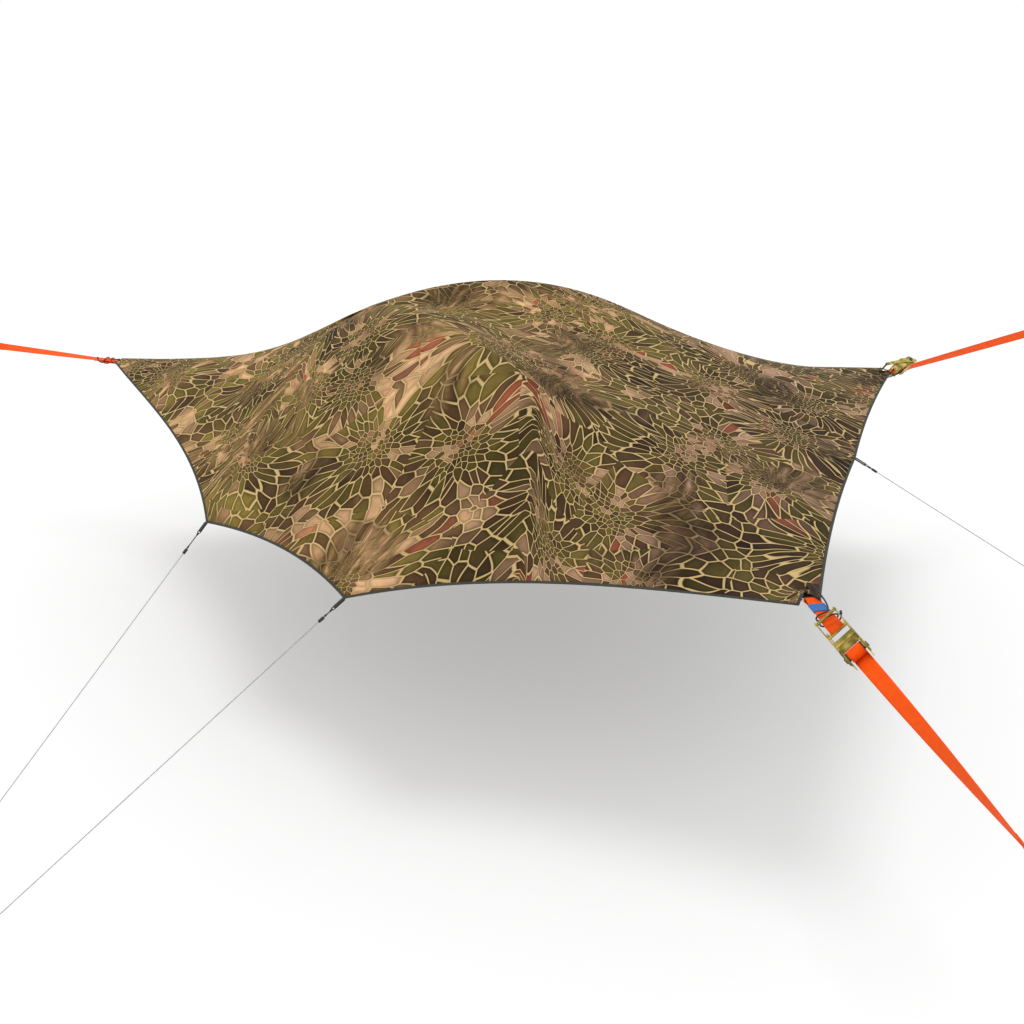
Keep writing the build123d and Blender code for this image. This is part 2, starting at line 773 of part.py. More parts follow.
for name, roll in ratchet_roll.items():
    first, last = ring_short / 2, spool_place[name] + bolt_x
    middle = strap_inner + webbing_thick / 2
    with BuildPart() as short_strap:
        add(bend(first, 0, -1))
        add(bend(last, roll, 1))
        for lift in (-middle, middle):
            if twist_start[name] > first:
                with Locations(((first + twist_start[name]) / 2, 0, lift)):
                    Box(twist_start[name] - first, webbing_width, webbing_thick)
            add(twisted_band(*rolled_rows(twist_start[name], last, 0, roll, lift)))
    placed(short_strap.part, f"{name}_short_strap", [corner_plane(name)])

label_middle, label_length = 72.0, 46.0
with BuildPart() as strap_label:
    with Locations((label_middle, 0, 0)):
        Box(label_length, webbing_width + 2.4, 2 * strap_half + 2.4)
        Box(label_length, webbing_width + 0.4, 2 * strap_half + 0.4, mode=Mode.SUBTRACT)
placed(strap_label.part, "strap_label", [corner_plane("right")])


# ---- black elastic cords that tie the fly's corners to the straps ----
def strap_roll(name, along):
    """Roll of the webbing at a place between a corner ring and its ratchet bolt."""
    if name == "foot":
        return 0.0
    start, end = twist_start[name], spool_place[name] + bolt_x
    return ratchet_roll[name] * min(1.0, max(0.0, (along - start) / (end - start)))


def wraps(name, first, pitch, turns, wide, high):
    """Square turns of cord round a strap, advancing by pitch with each turn."""
    points = []
    for turn in range(turns):
        here = first + pitch * turn
        for ahead, side, level in ((0, 1, 1), (0.45, -1, 1), (0.5, -1, -1), (0.95, 1, -1)):
            along = here + ahead * pitch
            corner = Vector(along, side * wide, level * high)
            points.append(corner.rotate(Axis.X, strap_roll(name, along)))
    return points


corner_cords = {
    "foot": [Vector(-16, 14, 22)] + wraps("foot", 48, 34, 2, 33, 13) + [Vector(120, 31, 12)],
    "right": [Vector(-26, 12, 36)] + wraps("right", 112, 26, 2, 33, 13) + [Vector(166, 26, 30)],
    "left": [Vector(-26, 10, 36), Vector(-8, -30, 30), Vector(17, -46, 5)],
}
hook_length, hook_radius = 12.0, 4.0
with BuildPart() as cord_hooks:
    for name, points in corner_cords.items():
        with Locations(corner_plane(name).location):
            end_run = (points[-1] - points[-2]).normalized()
            with Locations(Plane(origin=points[-1], z_dir=end_run).location):
                Cylinder(hook_radius, hook_length, align=(Align.CENTER, Align.CENTER, Align.MIN))
for name, points in corner_cords.items():
    placed(tube(points, elastic_radius), f"corner_cord_{name}", [corner_plane(name)])
write(cord_hooks.part, "corner_cord_hooks")

print("guy line radius", guy_radius, "corner elastic radius", elastic_radius)
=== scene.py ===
import math

import bmesh
import bpy
import numpy as np
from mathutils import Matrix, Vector


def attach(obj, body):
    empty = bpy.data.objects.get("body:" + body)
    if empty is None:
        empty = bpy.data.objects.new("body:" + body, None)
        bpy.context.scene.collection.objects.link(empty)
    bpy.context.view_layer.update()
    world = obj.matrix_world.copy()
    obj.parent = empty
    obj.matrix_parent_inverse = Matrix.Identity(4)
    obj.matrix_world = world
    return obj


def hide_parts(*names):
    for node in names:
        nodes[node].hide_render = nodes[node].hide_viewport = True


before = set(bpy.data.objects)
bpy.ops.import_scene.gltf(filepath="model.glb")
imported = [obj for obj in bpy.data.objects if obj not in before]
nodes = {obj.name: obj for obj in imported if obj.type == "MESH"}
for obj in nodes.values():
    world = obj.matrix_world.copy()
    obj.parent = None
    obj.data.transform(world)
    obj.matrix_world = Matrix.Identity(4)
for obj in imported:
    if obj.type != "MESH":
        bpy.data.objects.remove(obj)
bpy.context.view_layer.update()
scene = bpy.context.scene
bpy.ops.object.select_all(action="DESELECT")
print("frame:", len(nodes), "parts")

# ---- camera, lights, floor ----
view = dict(place=(5.136, -4.571, 1.683), aim=(3.712, -1.062, 0.0), angle=50.0)
bpy.ops.object.camera_add(location=view["place"])
camera = bpy.context.object
camera.rotation_euler = (Vector(view["aim"]) - Vector(view["place"])).to_track_quat("-Z", "Y").to_euler()
camera.data.sensor_width = 36.0
camera.data.lens = 18.0 / math.tan(math.radians(view["angle"] / 2))
camera.data.clip_end = 400.0
scene.camera = camera
scene.view_settings.view_transform = "Standard"

studio = dict(floorHeight=-1.0, floorSize=300.0, skyStrength=1.0, sunToward=(0.22, -0.12, -1.0),
              sunSpread=24.0, sunStrength=0.95)
bpy.ops.object.light_add(type="SUN")
sun = bpy.context.object
sun.data.energy = studio["sunStrength"]
sun.data.angle = math.radians(studio["sunSpread"])
sun.rotation_euler = Vector(studio["sunToward"]).to_track_quat("-Z", "Y").to_euler()
world = bpy.data.worlds.new("studioSky")
scene.world = world
world.use_nodes = True
world.node_tree.nodes["Background"].inputs["Color"].default_value = (1.0, 1.0, 1.0, 1.0)
world.node_tree.nodes["Background"].inputs["Strength"].default_value = studio["skyStrength"]


# ---- material helpers ----
def srgb(red, green, blue):
    # everyday 0-255 colour to the shader's linear one
    parts = [value / 255 for value in (red, green, blue)]
    return (*[p / 12.92 if p <= 0.04045 else ((p + 0.055) / 1.055) ** 2.4 for p in parts], 1.0)


class Wire:
    # one socket of a material; arithmetic on it adds Math nodes
    def __init__(self, owner, socket):
        self.owner, self.socket = owner, socket

    def calc(self, operation, *values):
        inputs = dict(enumerate(values))
        return self.owner.node("ShaderNodeMath", dict(operation=operation), inputs)

    def __add__(self, other):
        return self.calc("ADD", self, other)

    def __sub__(self, other):
        return self.calc("SUBTRACT", self, other)

    def __rsub__(self, other):
        return self.calc("SUBTRACT", other, self)

    def __mul__(self, other):
        return self.calc("MULTIPLY", self, other)

    def __pow__(self, other):
        return self.calc("POWER", self, other)

    __radd__, __rmul__ = __add__, __mul__

    def sine(self):
        return self.calc("SINE", self)

    def exp(self):
        return self.calc("EXPONENT", self)

    def swing(self, half):
        return self.calc("PINGPONG", self, half)

    def ease(self, low, high, first=0.0, last=1.0):
        inputs = {"Value": self, "From Min": low, "From Max": high, "To Min": first, "To Max": last}
        return self.owner.node("ShaderNodeMapRange", dict(interpolation_type="SMOOTHSTEP"), inputs)


class Finish:
    # a material with its Principled shader, and short ways to add nodes to it
    def __init__(self, name, settings):
        self.material = bpy.data.materials.new(name)
        self.material.use_nodes = True
        self.tree = self.material.node_tree
        self.shader = self.tree.nodes["Principled BSDF"]
        for label, value in settings.items():
            self.shader.inputs[label].default_value = value

    def node(self, kind, settings=None, inputs=None, output=0):
        made = self.tree.nodes.new(kind)
        for key, value in (settings or {}).items():
            if key == "stops":
                ends = made.color_ramp.elements
                ends[0].position, ends[0].color = value[0]
                ends[1].position, ends[1].color = value[-1]
                for place, colour in value[1:-1]:
                    ends.new(place).color = colour
            else:
                setattr(made, key, value)
        for key, value in (inputs or {}).items():
            if isinstance(value, Wire):
                self.tree.links.new(value.socket, made.inputs[key])
            else:
                made.inputs[key].default_value = value
        return Wire(self, made.outputs[output])

    def mix(self, share, first, second, way="MIX"):
        settings = dict(data_type="RGBA", blend_type=way)
        return self.node("ShaderNodeMix", settings, {0: share, 6: first, 7: second}, 2)

    def place(self):
        return self.node("ShaderNodeTexCoord", output="Object")

    def cloth(self):
        return self.node("ShaderNodeUVMap", dict(uv_map="cloth"))

    def axis(self, vector, which):
        return self.node("ShaderNodeSeparateXYZ", {}, {0: vector}, which)

    def vector(self, operation, first, second):
        return self.node("ShaderNodeVectorMath", dict(operation=operation), {0: first, 1: second})

    def length(self, vector):
        return self.node("ShaderNodeVectorMath", dict(operation="LENGTH"), {0: vector}, "Value")

    def scaled(self, vector, amount):
        return self.node("ShaderNodeVectorMath", dict(operation="SCALE"), {0: vector, "Scale": amount})

    def noise(self, vector, scale, detail=2.0, output=0):
        inputs = {"Vector": vector, "Scale": scale, "Detail": detail}
        return self.node("ShaderNodeTexNoise", {}, inputs, output)

    def cells(self, inputs, output=0, feature="F1"):
        settings = dict(voronoi_dimensions="2D", feature=feature)
        return self.node("ShaderNodeTexVoronoi", settings, inputs, output)

    def bump(self, height, distance, strength=1.0, normal=None):
        inputs = {"Height": height, "Distance": distance, "Strength": strength}
        if normal:
            inputs["Normal"] = normal
        return self.node("ShaderNodeBump", {}, inputs)

    def feed(self, **wires):
        names = dict(colour="Base Color", rough="Roughness", alpha="Alpha", normal="Normal")
        for key, wire in wires.items():
            self.tree.links.new(wire.socket, self.shader.inputs[names[key]])
        return self.material


# ---- finishes ----
def scaleCamouflage():
    # scale print: stretched cells with pale outlines, tight where the pattern gathers; painted shade darkens
    # the head end
    ink = dict(patch=2.2, pull=0.17, gain=1.45, swirl=1.9, sweep=0.26, cells=21.0, line=0.075,
               depth=(0.82, 0.71, 0.52), ripstop=0.0035)
    f = Finish("camouflage_ripstop", {"Roughness": 0.7, "Specular IOR Level": 0.06})

    def tone(red, green, blue):
        return (*[part * depth for part, depth in zip(srgb(red, green, blue), ink["depth"])], 1.0)

    flat = f.cloth()
    patchInputs = {"Vector": flat, "Scale": ink["patch"], "Randomness": 0.9}
    centre = f.cells(patchInputs, "Position")
    away = f.vector("SUBTRACT", flat, centre)
    near = f.length(away) * (1 / ink["pull"])
    swell = (near * near * -1.0).exp() * ink["gain"]
    stretched = f.scaled(away, swell)
    swirl = f.vector("SUBTRACT", f.noise(flat, ink["swirl"], 1.5, "Color"), (0.5, 0.5, 0.5))
    spot = f.vector("ADD", f.vector("ADD", flat, stretched), f.scaled(swirl, ink["sweep"]))
    cellInputs = {"Vector": spot, "Scale": ink["cells"], "Randomness": 0.86}
    cell = f.cells(cellInputs, "Color")
    middle = f.cells(cellInputs, "Position")
    rim = f.cells(cellInputs, feature="DISTANCE_TO_EDGE")
    chance = f.axis(cell, 0)
    drift = f.noise(middle, 3.6, 2.0)
    pick = drift.ease(0.34, 0.66) * 0.62 + chance * 0.38
    tones = [
        (0.00, tone(62, 46, 36)), (0.18, tone(84, 66, 46)), (0.32, tone(98, 92, 48)),
        (0.46, tone(116, 106, 56)), (0.56, tone(92, 70, 50)), (0.66, tone(120, 96, 74)),
        (0.78, tone(196, 164, 136)), (0.88, tone(208, 176, 150)), (0.93, tone(160, 84, 62)),
        (1.00, tone(112, 92, 84)),
    ]
    fill = f.node("ShaderNodeValToRGB", dict(stops=tones), {0: pick})
    brushed = f.node("ShaderNodeMapping", {}, {0: spot, "Rotation": (0, 0, 0.5), "Scale": (1.0, 4.6, 1.0)})
    streak = f.noise(brushed, 6.0, 5.0)
    streakTones = [
        (0.32, tone(54, 40, 34)), (0.43, tone(92, 72, 54)), (0.52, tone(116, 100, 66)),
        (0.60, tone(156, 126, 102)), (0.72, tone(206, 178, 154)),
    ]
    smear = f.node("ShaderNodeValToRGB", dict(stops=streakTones), {0: streak})
    loose = f.noise(flat, 2.6, 3.0).ease(0.52, 0.64)
    body = f.mix(loose * 0.8, fill, smear)
    zone = f.noise(f.vector("ADD", flat, (4.0, 9.0, 0.0)), 2.4, 2.0).ease(0.36, 0.62, 0.55, 1.35)
    shade = rim.ease(0.02, 0.30, 0.6, 1.1) * (f.noise(flat, 40.0, 3.0) * 0.5 + 0.75) * zone
    # painted shade: the print darkens towards the head end, where less light falls
    paintedHeadShade = f.axis(flat, 1).ease(3.0, 4.5, 1.0, 0.56)
    # random print tone times the painted head-end shade, with blue dimmed less
    warmToneAndShade, blueToneAndShade = shade * paintedHeadShade, shade * (paintedHeadShade * 0.6 + 0.4)
    dim = f.node("ShaderNodeCombineColor", {}, {0: warmToneAndShade, 1: warmToneAndShade, 2: blueToneAndShade})
    body = f.mix(1.0, body, dim, "MULTIPLY")
    line = rim.ease(ink["line"] * 0.4, ink["line"], 1.0, 0.0) * (1 - loose * 0.7)
    lineTint = f.mix(f.noise(flat, 3.0, 1.0), tone(232, 216, 166), tone(204, 184, 150))
    colour = f.mix(line * 0.88, body, lineTint)
    across, along = f.axis(flat, 0), f.axis(flat, 1)
    thread = (across * 5200.0).sine() * (along * 5200.0).sine()
    half = ink["ripstop"]
    grid = (across.swing(half) * (1 / half)) ** 14.0 + (along.swing(half) * (1 / half)) ** 14.0
    ripples = f.noise(flat, 9.0, 3.0)
    normal = f.bump(ripples, 0.006, 0.5, f.bump(thread * 0.5 + grid, 0.0003, 0.6))
    return f.feed(colour=colour, normal=normal)


def webbing(name, tint, deep, rib=0.0021):
    f = Finish(name, {"Roughness": 0.68, "Specular IOR Level": 0.15})
    flat = f.cloth()
    across, along = f.axis(flat, 0), f.axis(flat, 1)
    slant = across.swing(0.0048) * (2.2 * math.pi / rib)
    twill = (along * (math.tau / rib) + slant).sine() * 0.5 + 0.5
    yarn = (across * (math.tau / 0.0011)).sine() * 0.5 + 0.5
    wear = f.noise(flat, 60.0, 4.0)
    tone = (twill * 0.35 + wear * 0.5 + 0.1).ease(0.15, 0.7)
    colour = f.mix(tone, deep, tint)
    return f.feed(colour=colour, normal=f.bump(twill * 0.7 + yarn * 0.3, 0.0005, 0.8))


def plainCloth(name, tint, deep, cell, alpha=None):
    f = Finish(name, {"Roughness": 0.7, "Sheen Weight": 0.1})
    flat = f.cloth()
    across, along = f.axis(flat, 0), f.axis(flat, 1)
    grid = (across.swing(cell / 2) * (2 / cell)) ** 10.0 + (along.swing(cell / 2) * (2 / cell)) ** 10.0
    patchy = f.noise(flat, 14.0, 4.0)
    colour = f.mix((patchy * 0.8 + grid * 0.35).ease(0.2, 1.0), deep, tint)
    wires = dict(colour=colour, normal=f.bump(grid + patchy, 0.0006, 0.6))
    if alpha is not None:
        wires["alpha"] = grid.ease(0.0, 0.5, alpha, 1.0)
    return f.feed(**wires)


def metal(name, tint, second, rough, spread, scratch):
    f = Finish(name, {"Metallic": 1.0})
    place = f.place()
    cloud = f.noise(place, 26.0, 4.0)
    fine = f.noise(place, 240.0, 3.0)
    lined = f.node("ShaderNodeMapping", {}, {0: place, "Scale": (1.0, 9.0, 1.0)})
    lines = f.noise(lined, 160.0, 2.0)
    colour = f.mix(cloud.ease(0.5 - spread / 2, 0.5 + spread / 2), tint, second)
    roughness = cloud.ease(0.3, 0.7, rough * 0.8, rough * 1.25) + lines * 0.08
    return f.feed(colour=colour, rough=roughness, normal=f.bump(fine * 0.6 + lines, 0.0002, scratch))


def moulded(name, tint, second, rough=0.45):
    f = Finish(name, {"Specular IOR Level": 0.45})
    place = f.place()
    grain = f.noise(place, 900.0, 3.0)
    cloud = f.noise(place, 30.0, 3.0)
    colour = f.mix(cloud, tint, second)
    roughness = cloud.ease(0.3, 0.7, rough * 0.85, rough * 1.2)
    return f.feed(colour=colour, rough=roughness, normal=f.bump(grain, 0.0002, 0.5))


def braid(name, tint, second, pitch=0.0024, flecks=None):
    # sheathed cord: crossing strands read from the object's own space
    f = Finish(name, {"Roughness": 0.75, "Sheen Weight": 0.15})
    place = f.place()
    total = f.axis(place, 0) + f.axis(place, 1) + f.axis(place, 2)
    other = f.axis(place, 0) - f.axis(place, 1) + f.axis(place, 2) * 0.4
    strands = (total * (math.tau / pitch)).sine() * (other * (math.tau / pitch)).sine() * 0.5 + 0.5
    colour = f.mix(strands, second, tint)
    if flecks:
        spots = f.noise(place, 420.0, 1.0).ease(0.55, 0.6)
        colour = f.mix(spots * 0.7, colour, flecks)
    return f.feed(colour=colour, normal=f.bump(strands, 0.0005, 0.8))


camouflage = scaleCamouflage()
orangeWeb = webbing("orange_webbing", srgb(250, 92, 0), srgb(226, 58, 0))
blackWeb = webbing("black_webbing", srgb(36, 36, 38), srgb(16, 16, 18))
bindingTape = webbing("binding_tape", srgb(72, 74, 64), srgb(44, 46, 40), 0.0012)
floorCloth = plainCloth("floor_ripstop", srgb(58, 62, 56), srgb(38, 41, 38), 0.007)
patchCloth = plainCloth("patch_cloth", srgb(34, 35, 36), srgb(20, 21, 22), 0.003)
netCloth = plainCloth("fly_net", srgb(40, 41, 42), srgb(26, 27, 28), 0.0024, alpha=0.42)
blueCloth = plainCloth("blue_label", srgb(34, 120, 196), srgb(18, 92, 160), 0.0016)
yellowZinc = metal("yellow_zinc", srgb(212, 192, 100), srgb(128, 118, 58), 0.32, 0.34, 0.5)
darkSteel = metal("dark_steel", srgb(120, 112, 98), srgb(84, 82, 80), 0.42, 0.5, 0.5)
paleSteel = metal("pale_steel", srgb(196, 196, 194), srgb(160, 160, 160), 0.28, 0.6, 0.3)
poleAlloy = metal("pole_alloy", srgb(70, 72, 76), srgb(50, 52, 56), 0.36, 0.6, 0.3)
blackPlastic = moulded("black_plastic", srgb(30, 30, 32), srgb(22, 22, 24))
elasticBraid = braid("black_elastic", srgb(26, 26, 28), srgb(10, 10, 11))
lineBraid = braid("guy_braid", srgb(150, 152, 148), srgb(84, 88, 84), 0.0018, srgb(214, 216, 212))
threadDark = moulded("dark_thread", srgb(44, 44, 44), srgb(30, 30, 30), 0.7)
threadOrange = moulded("orange_thread", srgb(178, 44, 12), srgb(150, 36, 10), 0.7)


def floorPaint():
    glow = {"Emission Color": (1.0, 1.0, 1.0, 1.0), "Emission Strength": 0.3}
    f = Finish("studio_floor", {"Roughness": 0.9, "Specular IOR Level": 0.0, **glow})
    tint = f.mix(f.noise(f.place(), 0.4, 2.0), srgb(203, 203, 203), srgb(199, 199, 199))
    return f.feed(colour=tint)


bpy.ops.mesh.primitive_plane_add(size=studio["floorSize"], location=(0, 0, studio["floorHeight"]))
studioFloor = bpy.context.object
studioFloor.name = "studio_floor"
studioFloor.data.materials.append(floorPaint())
print("stage and finishes ready")

finishOfNode = dict(
    corner_rings=paleSteel, left_pole=poleAlloy, right_pole=poleAlloy, pole_ferrules=paleSteel,
    pole_tips=paleSteel, pole_sockets=blackPlastic, pole_cross_clip=blackPlastic,
    canopy_clips=blackPlastic, zip_slider=paleSteel, corner_cord_hooks=blackPlastic,
    ratchet_bolts=yellowZinc,
)
for name in ("right", "left"):
    for part in ("frame", "handle", "handle_pawl", "frame_pawl"):
        finishOfNode[f"{name}_ratchet_{part}"] = yellowZinc
    for part in ("spool", "wheels"):
        finishOfNode[f"{name}_ratchet_{part}"] = darkSteel
for name in nodes:
    if name.startswith("line_tensioner"):
        finishOfNode[name] = blackPlastic
for name, finish in finishOfNode.items():
    part = nodes[name]
    part.data.materials.clear()
    part.data.materials.append(finish)

# ---- the tent's own geometry, as in the solid model ----
tent = dict(
    footRun=0.975, sideLength=4.1, headLength=2.66, sideSag=0.1, headSag=0.12,
    poleHeight=0.527, poleFlatness=0.8, poleFootShare=0.265, poleHeadShare=0.774,
    webWidth=0.05, webThick=0.0022, cloth=0.002, ringFront=0.013, boltBack=0.155,
)
up = Vector((0, 0, 1))
headHalf = tent["headLength"] / 2
headX = tent["footRun"] + math.sqrt(tent["sideLength"] ** 2 - headHalf**2)
corners = dict(
    foot=dict(place=Vector((tent["footRun"], 0, 0)), turn=180.0, reach=0.975, roll=0.0, eyeRoll=-30.0),
    right=dict(place=Vector((headX, -headHalf, 0)), turn=-58.6, reach=1.33, roll=45.0, eyeRoll=135.0,
               spool=0.362, level=0.1),
    left=dict(place=Vector((headX, headHalf, 0)), turn=59.0, reach=1.54, roll=-55.0, eyeRoll=-100.0,
              spool=0.218, level=0.013),
)
for corner in corners.values():
    turn = math.radians(corner["turn"])
    corner["out"] = Vector((math.cos(turn), math.sin(turn), 0))
    corner["side"] = Vector((-math.sin(turn), math.cos(turn), 0))


def mirrored(point):
    return Vector((point[0], -point[1], point[2]))


def rolled(name, degrees):
    # directions across a corner's strap and square to it, when it is turned by so much
    angle, side = math.radians(degrees), corners[name]["side"]
    return side * math.cos(angle) + up * math.sin(angle), up * math.cos(angle) - side * math.sin(angle)


def rollAt(name, x):
    # roll of the webbing between a corner ring and its ratchet bolt
    corner = corners[name]
    if "level" not in corner:
        return 0.0
    whole = corner["spool"] - tent["boltBack"] - corner["level"]
    return corner["roll"] * min(1.0, max(0.0, (x - corner["level"]) / whole))


def atCorner(name, x, y, z, roll=0.0):
    side, normal = rolled(name, roll)
    return corners[name]["place"] + corners[name]["out"] * x + side * y + normal * z


def sidePoint(share):
    # on the right-hand floor edge, from the foot corner to the head corner
    chord = corners["right"]["place"] - corners["foot"]["place"]
    inward = Vector((-chord.y, chord.x, 0)).normalized()
    return corners["foot"]["place"] + chord * share + inward * tent["sideSag"] * 4 * share * (1 - share)


footEnd, headEnd = sidePoint(tent["poleFootShare"]), mirrored(sidePoint(tent["poleHeadShare"]))
crossing = footEnd.y / (footEnd.y - headEnd.y)


def polePoint(share, lift=0.0):
    # on the pole from the right foot-end socket to the left head-end socket
    flat = footEnd + (headEnd - footEnd) * share
    arch = tent["poleHeight"] * max(0.0, 4 * share * (1 - share)) ** tent["poleFlatness"]
    return Vector((flat.x, flat.y, arch + lift))


# ---- mesh helpers ----
def meshPiece(name, points, faces, finish, marks=None):
    # an object from points and faces; a cloth map in metres makes it smooth too
    mesh = bpy.data.meshes.new(name)
    mesh.from_pydata(points, [], faces)
    mesh.materials.append(finish)
    if marks is not None:
        layer = mesh.uv_layers.new(name="cloth")
        layer.data.foreach_set("uv", np.array(marks, np.float32).ravel())
        mesh.polygons.foreach_set("use_smooth", [True] * len(faces))
    piece = bpy.data.objects.new(name, mesh)
    scene.collection.objects.link(piece)
    return piece


def outward(piece):
    # turns a closed piece's faces outward
    shell = bmesh.new()
    shell.from_mesh(piece.data)
    bmesh.ops.recalc_face_normals(shell, faces=shell.faces)
    shell.to_mesh(piece.data)
    shell.free()
    return piece


def skin(name, grid, finish, across, along, loop=False, capped=True):
    # a closed ring of faces along rows of points, with its cloth map in metres
    rows, columns = len(grid), len(grid[0])
    points = [tuple(point) for row in grid for point in row]
    faces, marks = [], []
    for r in range(rows if loop else rows - 1):
        for c in range(columns):
            nextR, nextC = (r + 1) % rows, (c + 1) % columns
            here, there = r * columns, nextR * columns
            faces.append((here + c, here + nextC, there + nextC, there + c))
            marks += [(across[c], along[r]), (across[c + 1], along[r]),
                      (across[c + 1], along[r + 1]), (across[c], along[r + 1])]
    if capped and not loop:
        for r in (0, rows - 1):
            order = range(columns) if r else range(columns - 1, -1, -1)
            faces.append(tuple(r * columns + c for c in order))
            marks += [(across[c], along[r]) for c in order]
    return outward(meshPiece(name, points, faces, finish, marks))


def spread(first, last, count):
    # evenly spaced values, both ends included
    return [first + (last - first) * n / count for n in range(count + 1)]


def arc(x, z, radius, first, last, steps):
    # points round a turn in the strap's upright plane; angles in degrees from +X
    turns = [math.radians(angle) for angle in spread(first, last, steps)]
    return [(x + radius * math.cos(a), z + radius * math.sin(a)) for a in turns]


def lengths(points, closed=False):
    total, last = [0.0], points[0]
    for point in [*points[1:], *([points[0]] if closed else [])]:
        total.append(total[-1] + (point - last).length)
        last = point
    return total


def heading(path, k, loop=False):
    # direction of a path at one of its points
    before = path[k - 1 if loop or k else 0]
    after = path[(k + 1) % len(path) if loop or k < len(path) - 1 else k]
    return (after - before).normalized()


def flatSection(width, thick, columns=6):
    # outline of a webbing's cut end, rounded at its two edges
    half, edge = width / 2, thick * 0.3
    top = [(-half + edge + (width - 2 * edge) * k / columns, thick / 2) for k in range(columns + 1)]
    low = [(x, -y) for x, y in reversed(top)]
    return [(-half, 0.0), *top, (half, 0.0), *low]


def band(name, path, sides, finish, width=None, thick=None, section=None, loop=False):
    # webbing along a path; sides are the directions across it
    section = section or flatSection(width, thick)
    rows = []
    for k, (point, side) in enumerate(zip(path, sides)):
        normal = heading(path, k, loop).cross(side).normalized()
        rows.append([point + side * x + normal * y for x, y in section])
    across = [x for x, y in section] + [section[0][0]]
    return skin(name, rows, finish, across, lengths(path, loop), loop=loop)


def roundTube(name, path, radius, finish, loop=False, sides=10):
    # round cord along a path, its frame carried along without twist
    rows, side = [], None
    for k, point in enumerate(path):
        ahead = heading(path, k, loop)
        if side is None:
            side = ahead.cross(up if abs(ahead.z) < 0.9 else Vector((1, 0, 0))).normalized()
        side = (side - ahead * side.dot(ahead)).normalized()
        other = ahead.cross(side)
        rows.append([point + (side * math.cos(a) + other * math.sin(a)) * radius
                     for a in spread(0, math.tau, sides)[:-1]])
    across = spread(0, math.tau * radius, sides)
    return skin(name, rows, finish, across, lengths(path, loop), loop=loop)


def joined(name, pieces):
    # several finished pieces as one object
    bpy.ops.object.select_all(action="DESELECT")
    for piece in pieces:
        piece.select_set(True)
    bpy.context.view_layer.objects.active = pieces[0]
    bpy.ops.object.join()
    pieces[0].name = pieces[0].data.name = name
    bpy.ops.object.select_all(action="DESELECT")
    return pieces[0]


def thicken(piece, thick, offset=0.0):
    bpy.context.view_layer.objects.active = piece
    solid = piece.modifiers.new("thickness", "SOLIDIFY")
    solid.thickness, solid.offset, solid.use_even_offset = thick, offset, True
    bpy.ops.object.modifier_apply(modifier=solid.name)


def stitches(name, runs, finish, pitch=0.0042, length=0.003, width=0.0008, tall=0.0007):
    # short raised threads along each run of points; each run comes with the cloth's normal
    points, faces = [], []
    for first, last, normal in runs:
        ahead = last - first
        count = max(1, int(ahead.length / pitch))
        ahead.normalize()
        side = ahead.cross(normal).normalized()
        for n in range(count):
            middle = first + (last - first) * ((n + 0.5) / count)
            base = len(points)
            for x, y, z in ((-1, -1, -0.3), (-1, 1, -0.3), (1, 1, -0.3), (1, -1, -0.3),
                            (-0.6, -0.5, 1), (-0.6, 0.5, 1), (0.6, 0.5, 1), (0.6, -0.5, 1)):
                points.append(middle + ahead * x * length / 2 + side * y * width / 2 + normal * z * tall)
            faces += [tuple(base + k for k in face) for face in (
                (3, 2, 1, 0), (4, 5, 6, 7), (0, 1, 5, 4), (1, 2, 6, 5), (2, 3, 7, 6), (3, 0, 4, 7))]
    return outward(meshPiece(name, [tuple(point) for point in points], faces, finish))


def settle(piece, slot, *replaced):
    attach(piece, "tent")
    if replaced:
        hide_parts(*replaced)
    return piece


# ---- cords ----
guys = dict(
    right_foot=dict(place=(2.412, -1.220, -0.2), toward=(-0.095, -1.045, -0.55), run=1.62, splice=0.134),
    right_middle=dict(place=(3.272, -1.580, -0.2), toward=(-0.32, -0.70, -0.35), run=1.70, splice=0.091),
    head=dict(place=(headX, 0.0, 0.0), toward=(0.62, -0.05, -0.30), run=0.86, splice=0.070),
)
for key in ("middle", "foot"):
    guy = guys[f"right_{key}"]
    guys[f"left_{key}"] = dict(guy, place=mirrored(guy["place"]), toward=mirrored(guy["toward"]))
guyLine = dict(radius=0.0014, elasticRadius=0.0021, start=0.059, elasticStart=0.062, loopPlace=0.051,
               loopRadius=0.008, endRadius=0.022, knotRadius=0.0027, knotLength=0.0125,
               knotThread=0.0015, knotPlace=0.063)


def atGuy(name, x, y, z):
    guy = guys[name]
    ahead = Vector(guy["toward"]).normalized()
    level = Vector((-ahead.y, ahead.x, 0)).normalized()
    return Vector(guy["place"]) + ahead * x + level * y + ahead.cross(level) * z


def spline(name, route, radius, finish):
    # a round cord on one smooth curve through its route
    curve = bpy.data.curves.new(name, "CURVE")
    curve.dimensions = "3D"
    curve.bevel_depth = radius
    curve.bevel_resolution = 3
    curve.resolution_u = 10
    curve.use_fill_caps = True
    line = curve.splines.new("NURBS")
    line.points.add(len(route) - 1)
    for point, place in zip(line.points, route):
        point.co = (*place, 1.0)
    line.order_u = 3
    line.use_endpoint_u = True
    curve.materials.append(finish)
    cord = bpy.data.objects.new(name, curve)
    scene.collection.objects.link(cord)
    return cord


def splineLength(route):
    # measured on a bare copy of the curve, which is removed again
    bare = spline("measure", route, 0.0, elasticBraid)
    line = bpy.data.meshes.new_from_object(bare)
    total = lengths([vertex.co.copy() for vertex in line.vertices])[-1]
    bpy.data.objects.remove(bare)
    bpy.data.meshes.remove(line)
    return total


def tiedLoop(where, place, toward, radius, neck, waist, count):
    # points round a loop: round at its end toward +1 or -1, drawn out at its knot
    points = []
    for angle in spread(0, math.tau, count)[:-1]:
        x, y = math.cos(angle), math.sin(angle)
        if x <= 0:
            x, y = x * neck, y * (waist + (1 - waist) * abs(y))
        points.append(where(place + toward * radius * x, radius * y, 0))
    return points


